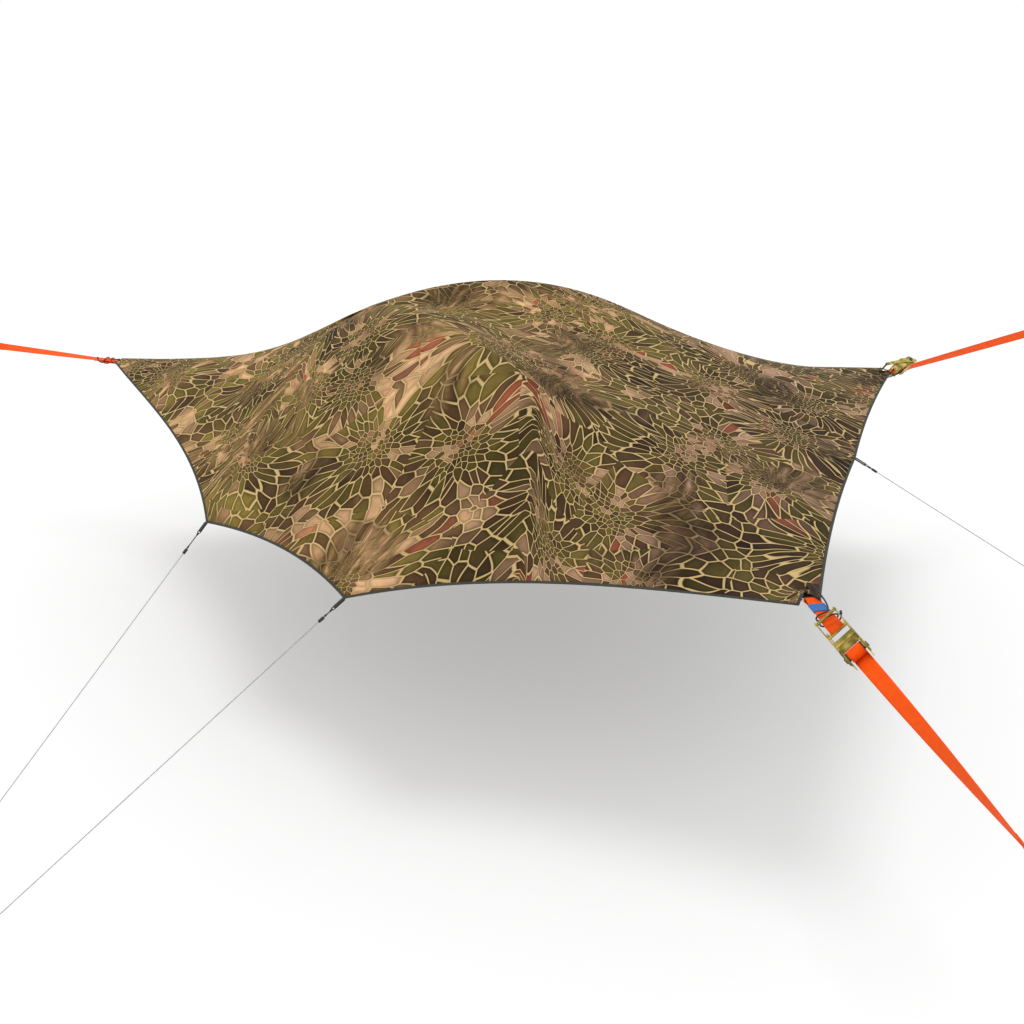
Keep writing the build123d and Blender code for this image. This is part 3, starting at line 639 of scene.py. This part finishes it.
def barrelKnot(name, where, along, finish, turns=4):
    # a few tight turns round the line, drawn down at both ends
    path = []
    for share in spread(0, 1, 14 * turns):
        angle = math.tau * turns * share
        swell = 0.55 + 0.45 * math.sin(math.pi * share) ** 0.35 if 0 < share < 1 else 0.4
        x, reach = along + (share - 0.5) * guyLine["knotLength"], guyLine["knotRadius"] * swell
        path.append(where(x, reach * math.cos(angle), reach * math.sin(angle)))
    return roundTube(name, path, guyLine["knotThread"], finish, sides=8)


for name, guy in guys.items():
    def here(x, y, z, owner=name):
        return atGuy(owner, x, y, z)

    run = guy["run"]
    route = [here(guyLine["start"], 0, 0), here(run * 0.5, 0, -0.0004), here(run - 0.004, 0, 0)]
    cord = spline(f"guy_line_{name}_cord", route, guyLine["radius"], lineBraid)
    small = tiedLoop(here, guyLine["loopPlace"], -1, guyLine["loopRadius"], 1.25, 0.72, 32)
    large = tiedLoop(here, run + guyLine["endRadius"], 1, guyLine["endRadius"], 1.2, 0.7, 36)
    elastic = [here(x, 0, 0) for x in spread(guyLine["elasticStart"], guy["splice"], 12)]
    extras = [
        roundTube(f"guy_loop_{name}", small, guyLine["elasticRadius"] * 0.8, elasticBraid, loop=True),
        barrelKnot(f"guy_knot_{name}", here, guyLine["knotPlace"], elasticBraid),
        roundTube(f"guy_elastic_{name}", elastic, guyLine["elasticRadius"], elasticBraid),
        barrelKnot(f"guy_splice_{name}", here, guy["splice"], elasticBraid, turns=3),
        roundTube(f"guy_end_loop_{name}", large, guyLine["radius"], lineBraid, loop=True),
        barrelKnot(f"guy_end_knot_{name}", here, run - 0.008, lineBraid),
    ]
    for piece in extras[:4]:
        settle(piece, "black_cord")
    for piece in extras[4:]:
        settle(piece, "grey_line")
    settle(cord, "grey_line", f"guy_line_{name}")
    run - guyLine["start"] - 0.004
print("guy lines ready")


def wraps(name, first, pitch, turns, wide, high):
    # an elastic wound squarely round a strap, turned with it
    points = []
    for turn in range(turns):
        for ahead, side, level in ((0, 1, 1), (0.45, -1, 1), (0.5, -1, -1), (0.95, 1, -1)):
            x = first + (turn + ahead) * pitch
            points.append(atCorner(name, x, side * wide, level * high, rollAt(name, x)))
    return points


cornerRoutes = dict(
    foot=[atCorner("foot", -0.016, 0.014, 0.022), *wraps("foot", 0.048, 0.034, 2, 0.033, 0.013),
          atCorner("foot", 0.120, 0.031, 0.012)],
    right=[atCorner("right", -0.026, 0.012, 0.036), *wraps("right", 0.112, 0.026, 2, 0.033, 0.013),
           atCorner("right", 0.166, 0.026, 0.030)],
    left=[atCorner("left", -0.026, 0.010, 0.036), atCorner("left", -0.008, -0.030, 0.030),
          atCorner("left", 0.017, -0.046, 0.005)],
)
for name, route in cornerRoutes.items():
    cord = spline(f"corner_elastic_{name}", route, 0.0026, elasticBraid)
    settle(cord, "black_cord", f"corner_cord_{name}")
    splineLength(route)
print("corner cords ready")

# ---- fly ----
fly = dict(
    footTip=(0.965, -0.032, 0.010), sideTip=(4.829, -1.410, 0.008), notch=(4.836, -1.302, 0.024),
    frontTip=(4.888, -1.355, 0.010), headMiddle=(headX - 0.002, 0.0, 0.004),
    sags=((0.065, 0.6), (0.06, 0.0), (0.085, -0.35), (0.02, 0.0)), drawIn=(3.3, 0.0, 0.35),
    rows=(30, 18, 40), half=32, ridgeColumn=12, ridgeRows=36, leavesPole=0.69, overPole=0.013,
    footWeight=0.13, headWeight=0.38, passes=1500, thick=0.0014,
)


def flyEdge(first, last, count, sag, skew):
    first, last, middle = (np.array(v, float) for v in (first, last, fly["drawIn"]))
    share = np.linspace(0, 1, count + 1)[:, None]
    chord = (last - first) / np.linalg.norm(last - first)
    inward = middle - (first + last) / 2
    inward -= chord * (inward @ chord)
    inward /= np.linalg.norm(inward)
    bow = sag * 4 * share * (1 - share) * (1 + skew * (2 * share - 1))
    return first + (last - first) * share + inward * bow


def flyGrid():
    # a membrane held at its edges and over the two poles
    first, second, third = fly["rows"]
    total, half = first + second + third, fly["half"]
    flip = np.array((1.0, -1.0, 1.0))
    near, far = guys["right_foot"]["place"], guys["right_middle"]["place"]
    edge = np.vstack([
        flyEdge(fly["footTip"], near, first, *fly["sags"][0]),
        flyEdge(near, far, second, *fly["sags"][1])[1:],
        flyEdge(far, fly["sideTip"], third, *fly["sags"][2])[1:],
    ])
    side, notch, front = (np.array(fly[key]) for key in ("sideTip", "notch", "frontTip"))
    head = np.vstack([[side, (side + notch) / 2, notch, (front + notch) / 2],
                      flyEdge(fly["frontTip"], fly["headMiddle"], half - 4, *fly["sags"][3])])
    grid = np.zeros((total + 1, 2 * half + 1, 3))
    share = np.linspace(0, 1, 2 * half + 1)[:, None]
    for row in range(total + 1):
        grid[row] = edge[row] * (1 - share) + edge[row] * flip * share
        grid[row, :, 2] += 0.3 * np.sin(np.pi * share[:, 0]) * np.sin(np.pi * row / total)
    grid[total, : half + 1] = head
    grid[total, half:] = (head * flip)[::-1]
    held = np.zeros(grid.shape[:2], bool)
    held[0] = held[-1] = True
    held[:, 0] = held[:, -1] = True
    column, start = half - fly["ridgeColumn"], first - 2
    stop = start + fly["ridgeRows"]
    shares = np.linspace(crossing + 0.006, fly["leavesPole"], stop - start + 1)
    ridge = np.array([polePoint(s, fly["overPole"]) for s in shares])
    grid[start : stop + 1, column], grid[start : stop + 1, 2 * half - column] = ridge * flip, ridge
    held[start : stop + 1, column] = held[start : stop + 1, 2 * half - column] = True
    free = ~held
    place = np.clip((np.arange(total + 1) - 20) / 30, 0, 1)[:, None, None]
    lengthwise = fly["footWeight"] + (fly["headWeight"] - fly["footWeight"]) * place
    ends = [(np.array(footEnd)[:2], np.array(headEnd)[:2])]
    ends.append(tuple(end * flip[:2] for end in ends[0]))
    for turn in range(fly["passes"]):
        moved = lengthwise * (np.roll(grid, 1, 0) + np.roll(grid, -1, 0))
        moved += (0.5 - lengthwise) * (np.roll(grid, 1, 1) + np.roll(grid, -1, 1))
        grid[free] = moved[free]
        if turn % 5:
            continue
        for begin, end in ends:
            run = end - begin
            along = ((grid[..., :2] - begin) @ run) / (run @ run)
            apart = np.linalg.norm(grid[..., :2] - (begin + along[..., None] * run), axis=-1)
            arch = tent["poleHeight"] * np.clip(4 * along * (1 - along), 0, 1) ** tent["poleFlatness"]
            rest = arch + fly["overPole"] - 2.2 * apart**2
            lift = (along > 0.03) & (along < 0.97) & free & (apart < 0.3) & (grid[..., 2] < rest)
            grid[..., 2][lift] = rest[lift]
    return grid


def clothMap(grid):
    # width measured over the cloth from the centre line, length along the tent
    steps = np.linalg.norm(np.diff(grid, axis=1), axis=2)
    width = np.concatenate([np.zeros((len(grid), 1)), np.cumsum(steps, axis=1)], axis=1)
    width -= width[:, grid.shape[1] // 2][:, None]
    return np.stack([width, grid[..., 0] + 0.15 * np.abs(grid[..., 2])], -1)


def sheet(name, grid, finish, uv):
    rows, columns = grid.shape[:2]
    index = np.arange(rows * columns).reshape(rows, columns)
    faces = np.stack([index[1:, :-1], index[1:, 1:], index[:-1, 1:], index[:-1, :-1]], -1).reshape(-1, 4)
    marks = uv.reshape(-1, 2)[faces.ravel()]
    return meshPiece(name, grid.reshape(-1, 3).tolist(), faces.tolist(), finish, marks)


def clothArea(piece):
    return sum(face.area for face in piece.data.polygons)


flyPoints = flyGrid()
flySheet = sheet("fly_sheet", flyPoints, camouflage, clothMap(flyPoints))
bpy.context.view_layer.objects.active = flySheet
smoothing = flySheet.modifiers.new("smoothing", "SUBSURF")
smoothing.levels = smoothing.render_levels = 1
bpy.ops.object.modifier_apply(modifier=smoothing.name)
print("fly area", round(clothArea(flySheet), 3), "m2,", len(flySheet.data.polygons), "faces")
thicken(flySheet, fly["thick"])
settle(flySheet, "fly_fabric", "fly_left_half", "fly_right_half")


def edgeFrames(line, inner):
    # along a border: each point with its direction into the cloth and the cloth's normal
    frames = []
    for k, (point, within) in enumerate(zip(line, inner)):
        ahead = heading(line, k)
        inward = within - point
        inward = (inward - ahead * inward.dot(ahead)).normalized()
        frames.append((point, inward, ahead.cross(inward).normalized()))
    return frames


def binding(name, line, inner, finish, wide=0.009, thick=0.0032):
    # tape folded over a cloth edge
    half = thick / 2
    upper = [(-0.0006, half * 0.8), (0.001, half), (wide * 0.5, half * 0.96), (wide, half * 0.9)]
    outline = [(-0.0012, 0), *upper, (wide + 0.0004, 0), *[(x, -y) for x, y in reversed(upper)]]
    rows = []
    for point, inward, normal in edgeFrames(line, inner):
        rows.append([point + inward * x + normal * y for x, y in outline])
    return skin(name, rows, finish, [x for x, y in outline] + [outline[0][0]], lengths(line))


def borderLines(grid):
    # the fly's two sides and head edge as point lists, each with the points just inside
    size = grid.shape[1] - 1

    def asPoints(rows):
        return [Vector(tuple(point)) for point in rows]

    return dict(
        right=(asPoints(grid[:, 0]), asPoints(grid[:, 1])),
        left=(asPoints(grid[:, size]), asPoints(grid[:, size - 1])),
        head=(asPoints(grid[-1]), asPoints(grid[-2])),
    )


borders = borderLines(flyPoints)
tapes = [binding(f"tape_{key}", line, inner, bindingTape) for key, (line, inner) in borders.items()]
flyBinding = joined("fly_binding", tapes)
settle(flyBinding, "fly_fabric")
hem = dict(inset=0.0065, lift=0.0016, pitch=0.009, length=0.006, width=0.0012)
hemRuns = []
for line, inner in borders.values():
    frames = edgeFrames(line, inner)
    for (point, inward, normal), (onward, nextIn, nextNormal) in zip(frames, frames[1:]):
        for face in (-1, 1):
            first = point + inward * hem["inset"] + normal * hem["lift"] * face
            last = onward + nextIn * hem["inset"] + nextNormal * hem["lift"] * face
            hemRuns.append((first, last, normal * face))
hemStitches = stitches("fly_hem_stitches", hemRuns, threadDark, hem["pitch"], hem["length"], hem["width"])
settle(hemStitches, "fly_fabric")
print("fly ready")

# ---- floor ----
floorShape = dict(rows=80, columns=48, trim=0.013, firstShare=0.012, sag=0.004)


def floorGrid():
    shape = floorShape
    grid = np.zeros((shape["rows"] + 1, shape["columns"] + 1, 3))
    for row, share in enumerate(spread(shape["firstShare"], 1, shape["rows"])):
        first = sidePoint(share)
        for column in range(shape["columns"] + 1):
            u = 0.5 + (column / shape["columns"] - 0.5) * (1 - 2 * shape["trim"] * share**20)
            x = first.x - tent["headSag"] * 4 * u * (1 - u) * share**3
            bays = abs(math.sin(math.tau * u)) * math.sin(math.pi * share)
            grid[row, column] = (x, first.y * (1 - 2 * u), -shape["sag"] * bays)
    return grid


floorPoints = floorGrid()
floorSheet = sheet("floor_sheet", floorPoints, floorCloth, floorPoints[..., 1::-1].copy())
print("floor area", round(clothArea(floorSheet), 3))
thicken(floorSheet, tent["cloth"])
settle(floorSheet, "floor_fabric", "floor_left_bay", "floor_right_bay")

edgeTape = dict(width=0.045, thick=0.0016)


def edgeBand(name, points, lift):
    path = [Vector((p[0], p[1], lift)) for p in points]
    sides = [up.cross(heading(path, k)).normalized() for k in range(len(path))]
    middle = Vector((3.6, 0, 0))
    inward = [side if (middle - point).dot(side) > 0 else -side for point, side in zip(path, sides)]
    path = [point + side * edgeTape["width"] / 2 for point, side in zip(path, inward)]
    return band(name, path, sides, blackWeb, edgeTape["width"], edgeTape["thick"])


rightEdge = [sidePoint(share) for share in spread(0.022, 0.984, 90)]
headEdge = [Vector((headX - tent["headSag"] * 4 * u * (1 - u), tent["headLength"] * u - headHalf, 0))
            for u in spread(0.028, 0.972, 60)]
leftEdge = [mirrored(point) for point in rightEdge]
edges = dict(right=(rightEdge, 0.0018), left=(leftEdge, 0.0021), head=(headEdge, 0.0036))
for side, (points, lift) in edges.items():
    piece = edgeBand(f"edge_strap_{side}_web", points, lift)
    settle(piece, "black_webbing", f"edge_strap_{side}")
spineLine = [Vector((x, 0, -0.0052)) for x in spread(1.397, headX - 0.122, 60)]
spineSides = [Vector((0, 1, 0))] * len(spineLine)
spine = band("spine_strap_web", spineLine, spineSides, blackWeb, tent["webWidth"], tent["cloth"])
settle(spine, "black_webbing", "spine_strap")

patch = dict(foot=0.42, right=0.26, left=0.26, start=0.036, level=-0.0030, thick=0.0014, steps=12)
patches = []
for name in corners:
    place, radius, steps = corners[name]["place"], patch[name], patch["steps"]
    if name == "foot":
        arms = [sidePoint(0.11) - place, mirrored(sidePoint(0.11)) - place]
    else:
        sideArm, headArm = sidePoint(0.95) - corners["right"]["place"], Vector((-0.022, 0.2, 0))
        arms = [sideArm, headArm] if name == "right" else [mirrored(headArm), mirrored(sideArm)]
    spans = [math.atan2(arm.y, arm.x) for arm in arms]
    turn = (spans[1] - spans[0] + math.pi) % math.tau - math.pi
    grid = np.zeros((steps + 1, steps + 1, 3))
    for r, reach in enumerate(spread(patch["start"], radius, steps)):
        for c, share in enumerate(spread(0.02, 0.98, steps)):
            angle = spans[0] + turn * share
            flat = place + Vector((math.cos(angle), math.sin(angle), 0)) * reach
            grid[r, c] = (flat.x, flat.y, patch["level"])
    patches.append(sheet(f"patch_{name}", grid, patchCloth, grid[..., :2].copy()))
cornerPatches = joined("corner_patches_cloth", patches)
thicken(cornerPatches, patch["thick"])
settle(cornerPatches, "black_webbing", "corner_patches")

cornerLoop = dict(back=0.133, front=0.018, upper=0.0057, lower=0.0062, bend=0.0052)
loopPieces = []
for name in corners:
    run = spread(-cornerLoop["back"], -cornerLoop["front"], 8)
    route = [(x, cornerLoop["upper"]) for x in run]
    route += arc(-tent["ringFront"], 0.0, cornerLoop["bend"], 90, -90, 14)
    route += [(x, -cornerLoop["lower"]) for x in reversed(run)]
    path = [atCorner(name, x, 0, z) for x, z in route]
    loopPieces.append(band(f"loop_{name}", path, [corners[name]["side"]] * len(path), blackWeb,
                           tent["webWidth"], tent["webThick"]))
settle(joined("corner_loops_web", loopPieces), "black_webbing", "corner_loops")
print("floor ready")

# ---- inner canopy ----
canopy = dict(underFly=0.022, levels=26, perSide=20, underPole=0.020, inset=0.032, top=0.985, thick=0.0012)


def underPole(share):
    point = polePoint(share)
    drop = canopy["underPole"] * min(1.0, point.z / 0.06)
    return Vector((point.x, point.y, max(point.z - drop, tent["cloth"] * 1.5 + 0.003)))


def bowed(first, last, bow, count):
    # points from first until just before last, standing out by bow in the middle
    return [first + (last - first) * u + bow * 4 * u * (1 - u) for u in spread(0, 1, count)[:-1]]


def canopyGrid():
    # rings of points from the base up to the crown: right side, head, left side, foot
    per, rings = canopy["perSide"], []
    sag = tent["sideSag"] * (tent["poleHeadShare"] - tent["poleFootShare"]) ** 2
    for level in range(canopy["levels"] + 1):
        share = canopy["top"] * level / canopy["levels"]
        inset = Vector((canopy["inset"] * max(0.0, 1 - level / 3), 0, 0))
        footSide = underPole(crossing * share) + inset
        headSide = mirrored(underPole(1 - (1 - crossing) * share)) - inset
        lift = Vector((0, sag * (1 - share), 0))
        ring = bowed(footSide, headSide, lift, per)
        ring += bowed(headSide, mirrored(headSide), Vector((-0.02 * (1 - share), 0, 0)), per)
        ring += [mirrored(point) for point in bowed(headSide, footSide, lift, per)]
        ring += bowed(mirrored(footSide), footSide, Vector(), per)
        rings.append(ring)
    return rings


def underFly(point):
    # lowered where the fly passes close above
    reach = np.linalg.norm(flyPoints[..., :2] - np.array(point[:2]), axis=-1).ravel()
    closest = np.argsort(reach)[:5]
    share = 1 / (reach[closest] + 0.004) ** 2
    roof = float(flyPoints[..., 2].ravel()[closest] @ share / share.sum())
    return Vector((point.x, point.y, min(point.z, max(roof - canopy["underFly"], 0.006))))


rings = [[underFly(point) for point in ring] for ring in canopyGrid()]
around = lengths(rings[0], closed=True)
upward = lengths([ring[0] for ring in rings])
netShell = skin("canopy_net", rings, netCloth, around, upward, capped=False)
print("canopy area", round(clothArea(netShell), 3))
thicken(netShell, canopy["thick"])
canopyPanels = [f"canopy_{side}_panel" for side in ("head", "foot", "left", "right")]
settle(netShell, "canopy_mesh", *canopyPanels)

zipX, zipHalf = headEnd.x + 0.014, 0.78
coil = [(0.0026, 0.0026), (0.0034, 0.0009), (0.0146, 0.0008)]
zipSection = [(-0.015, 0.0), *[(-x, y) for x, y in reversed(coil)], (0.0, 0.0030), *coil, (0.015, 0.0),
              (0.0146, -0.0006), (0.0, -0.0007), (-0.0146, -0.0006)]
zipLine = [Vector((zipX, y, 0.0016)) for y in spread(-zipHalf, zipHalf, 60)]
zipSides = [Vector((1, 0, 0))] * len(zipLine)
zipTape = band("zip_tape", zipLine, zipSides, blackWeb, section=[(x, -y) for x, y in zipSection])
settle(zipTape, "zip_tape", "door_zip")
print("canopy ready")

# ---- guy tabs ----
tab = dict(near=0.002, far=0.0455, bend=0.0035, width=0.012, thick=0.0018)
tabPieces = []
for name in guys:
    run = spread(tab["far"], tab["near"], 6)[1:-1]
    route = arc(tab["far"], 0, tab["bend"], -90, 90, 10) + [(x, tab["bend"]) for x in run]
    route += arc(tab["near"], 0, tab["bend"], 90, 270, 10) + [(x, -tab["bend"]) for x in reversed(run)]
    path = [atGuy(name, x, 0, z) for x, z in route]
    side = (atGuy(name, 0, 1, 0) - atGuy(name, 0, 0, 0)).normalized()
    sides = [side] * len(path)
    tabPieces.append(band(f"tab_{name}", path, sides, bindingTape, tab["width"], tab["thick"], loop=True))
settle(joined("guy_tabs", tabPieces), "black_webbing", "fly_guy_tabs")

# ---- straps ----
strap = dict(width=0.05, thick=0.0022, spoolHeight=0.020, rollTurns=4, rollInner=0.0107, eye=0.015,
             neck=0.034, tail=0.12, footStart=0.19)


def sewnEnd(name):
    # where a strap's doubled end parts round its eye
    return corners[name]["reach"] - strap["eye"] - strap["neck"]


def strapStart(name):
    # where a strap's single run, and its turn towards the eye, begins
    return corners[name].get("spool", strap["footStart"])


def strapRoll(name, share):
    # roll of the single run, from its start to its eye
    first, last = corners[name]["roll"], corners[name]["eyeRoll"]
    return first + (last - first) * share


def strapPath(name):
    # points in the strap's upright plane, with the share of the twist at each
    corner = corners[name]
    layer = strap["thick"] / 2 + 0.0002
    if name == "foot":
        ring, bend = tent["ringFront"], 0.0050
        run = spread(ring, 0.096, 8)
        route = [(x, -layer) for x in spread(0.160, 0.120, 4)]
        route += [(0.112, -0.0020), (0.104, -0.0038), (0.096, -0.0049)]
        route += [(x, -bend) for x in reversed(run[:-1])] + arc(ring, 0.0, bend, -110, -250, 16)
        route += [(x, bend) for x in run[1:]]
        route += [(0.104, 0.0038), (0.112, 0.0020), (0.120, layer), (0.150, layer), (0.170, layer * 0.6)]
        route += [(strap["footStart"], 0.0)]
    else:
        spool, turns = corner["spool"], strap["rollTurns"]
        route = []
        for share in spread(0, 1, turns * 32):
            phi = math.tau * turns * (share - 1)
            reach = strap["rollInner"] + (strap["spoolHeight"] - strap["rollInner"]) * share
            route.append((spool + reach * math.sin(phi), strap["spoolHeight"] - reach * math.cos(phi)))
    start, sewn = strapStart(name), sewnEnd(name)
    count = int((sewn - start) / 0.012)
    turned = [0.0] * len(route)
    for n in range(1, count + 1):
        rise = layer * max(0, n - count + 10) / 10
        route.append((start + (sewn - start) * n / count, rise))
        turned.append(n / count)
    eyeAt, eyeR = corner["reach"], strap["eye"] + strap["thick"] / 2
    opening = []
    for share in spread(0, 1, 7)[1:-1]:
        rise = (eyeR - layer) * (3 * share**2 - 2 * share**3)
        opening.append((sewn + (eyeAt - sewn) * share, layer + rise))
    route += opening + arc(eyeAt, 0, eyeR, 90, -90, 24) + [(x, -z) for x, z in reversed(opening)]
    route += [(x, -layer) for x in spread(sewn, sewn - strap["tail"], 8)]
    back = [min(1.0, max(0.0, (x - start) / (sewn - start))) for x, z in route[len(turned):]]
    return route, turned + back


def strapBand(name):
    route, turned = strapPath(name)
    path, sides = [], []
    for (x, z), share in zip(route, turned):
        roll = strapRoll(name, share)
        path.append(atCorner(name, x, 0, z, roll))
        sides.append(rolled(name, roll)[0])
    return band(f"{name}_strap_web", path, sides, orangeWeb, strap["width"], strap["thick"])


for name in corners:
    settle(strapBand(name), "orange_webbing", f"{name}_strap")


def sewnRuns(name, first, last, lift):
    # thread round and across a doubled length of strap, on both of its faces
    start, whole = strapStart(name), sewnEnd(name) - strapStart(name)

    def at(x, y, face):
        roll = strapRoll(name, max(0.0, (x - start) / whole))
        return atCorner(name, x, y, face * lift, roll), rolled(name, roll)[1] * face

    runs = []
    half = 0.019
    box = [(first, -half), (last, -half), (last, half), (first, half), (first, -half), (last, half)]
    for face in (-1, 1):
        for (x, y), (nextX, nextY) in [*zip(box, box[1:]), ((first, half), (last, -half))]:
            spots = [at(*spot, face) for spot in zip(spread(x, nextX, 4), spread(y, nextY, 4))]
            runs += [(spot, onward, normal) for (spot, normal), (onward, after) in zip(spots, spots[1:])]
    return runs


seams = sewnRuns("foot", 0.032, 0.090, 0.0062)
for name in corners:
    for first, last in ((0.112, 0.062), (0.054, 0.006)):
        seams += sewnRuns(name, sewnEnd(name) - first, sewnEnd(name) - last, 0.0025)
settle(stitches("strap_stitches", seams, threadOrange), "orange_webbing")

for name in ("right", "left"):
    first, last = tent["ringFront"], corners[name]["spool"] - tent["boltBack"]
    reach = 0.0065
    pinch = 0.0016 if name == "right" else reach
    topRun = []
    for x in spread(last, first, 24)[1:-1]:
        pressed = min(1.0, max(0.0, min(x - first, last - x) / 0.03 - 0.3)) ** 0.7
        topRun.append((x, reach + (pinch - reach) * pressed))
    route = arc(last, 0, reach, -90, 90, 14) + topRun
    route += arc(first, 0, reach, 90, 270, 14) + [(x, -z) for x, z in reversed(topRun)]
    path = [atCorner(name, x, 0, z, rollAt(name, x)) for x, z in route]
    sides = [rolled(name, rollAt(name, x))[0] for x, z in route]
    piece = band(f"{name}_short_strap_web", path, sides, orangeWeb, strap["width"], strap["thick"], loop=True)
    settle(piece, "orange_webbing", f"{name}_short_strap")

label = dict(first=0.049, last=0.095, half=0.0264, tall=0.0040, edge=0.003, thick=0.0012)
labelOutline = []
for x, y, turn in ((1, 1, 0), (-1, 1, 90), (-1, -1, 180), (1, -1, 270)):
    x, y = x * (label["half"] - label["edge"]), y * (label["tall"] - label["edge"])
    labelOutline += arc(x, y, label["edge"], turn, turn + 90, 4)
labelRows = [[atCorner("right", x, y, z) for y, z in labelOutline]
             for x in spread(label["first"], label["last"], 10)]
labelAcross = [y for y, z in labelOutline] + [labelOutline[0][0]]
labelAlong = spread(0, label["last"] - label["first"], 10)
labelPiece = skin("strap_label_cloth", labelRows, blueCloth, labelAcross, labelAlong, capped=False)
thicken(labelPiece, label["thick"], 1.0)
settle(labelPiece, "blue_label", "strap_label")
print("straps ready")
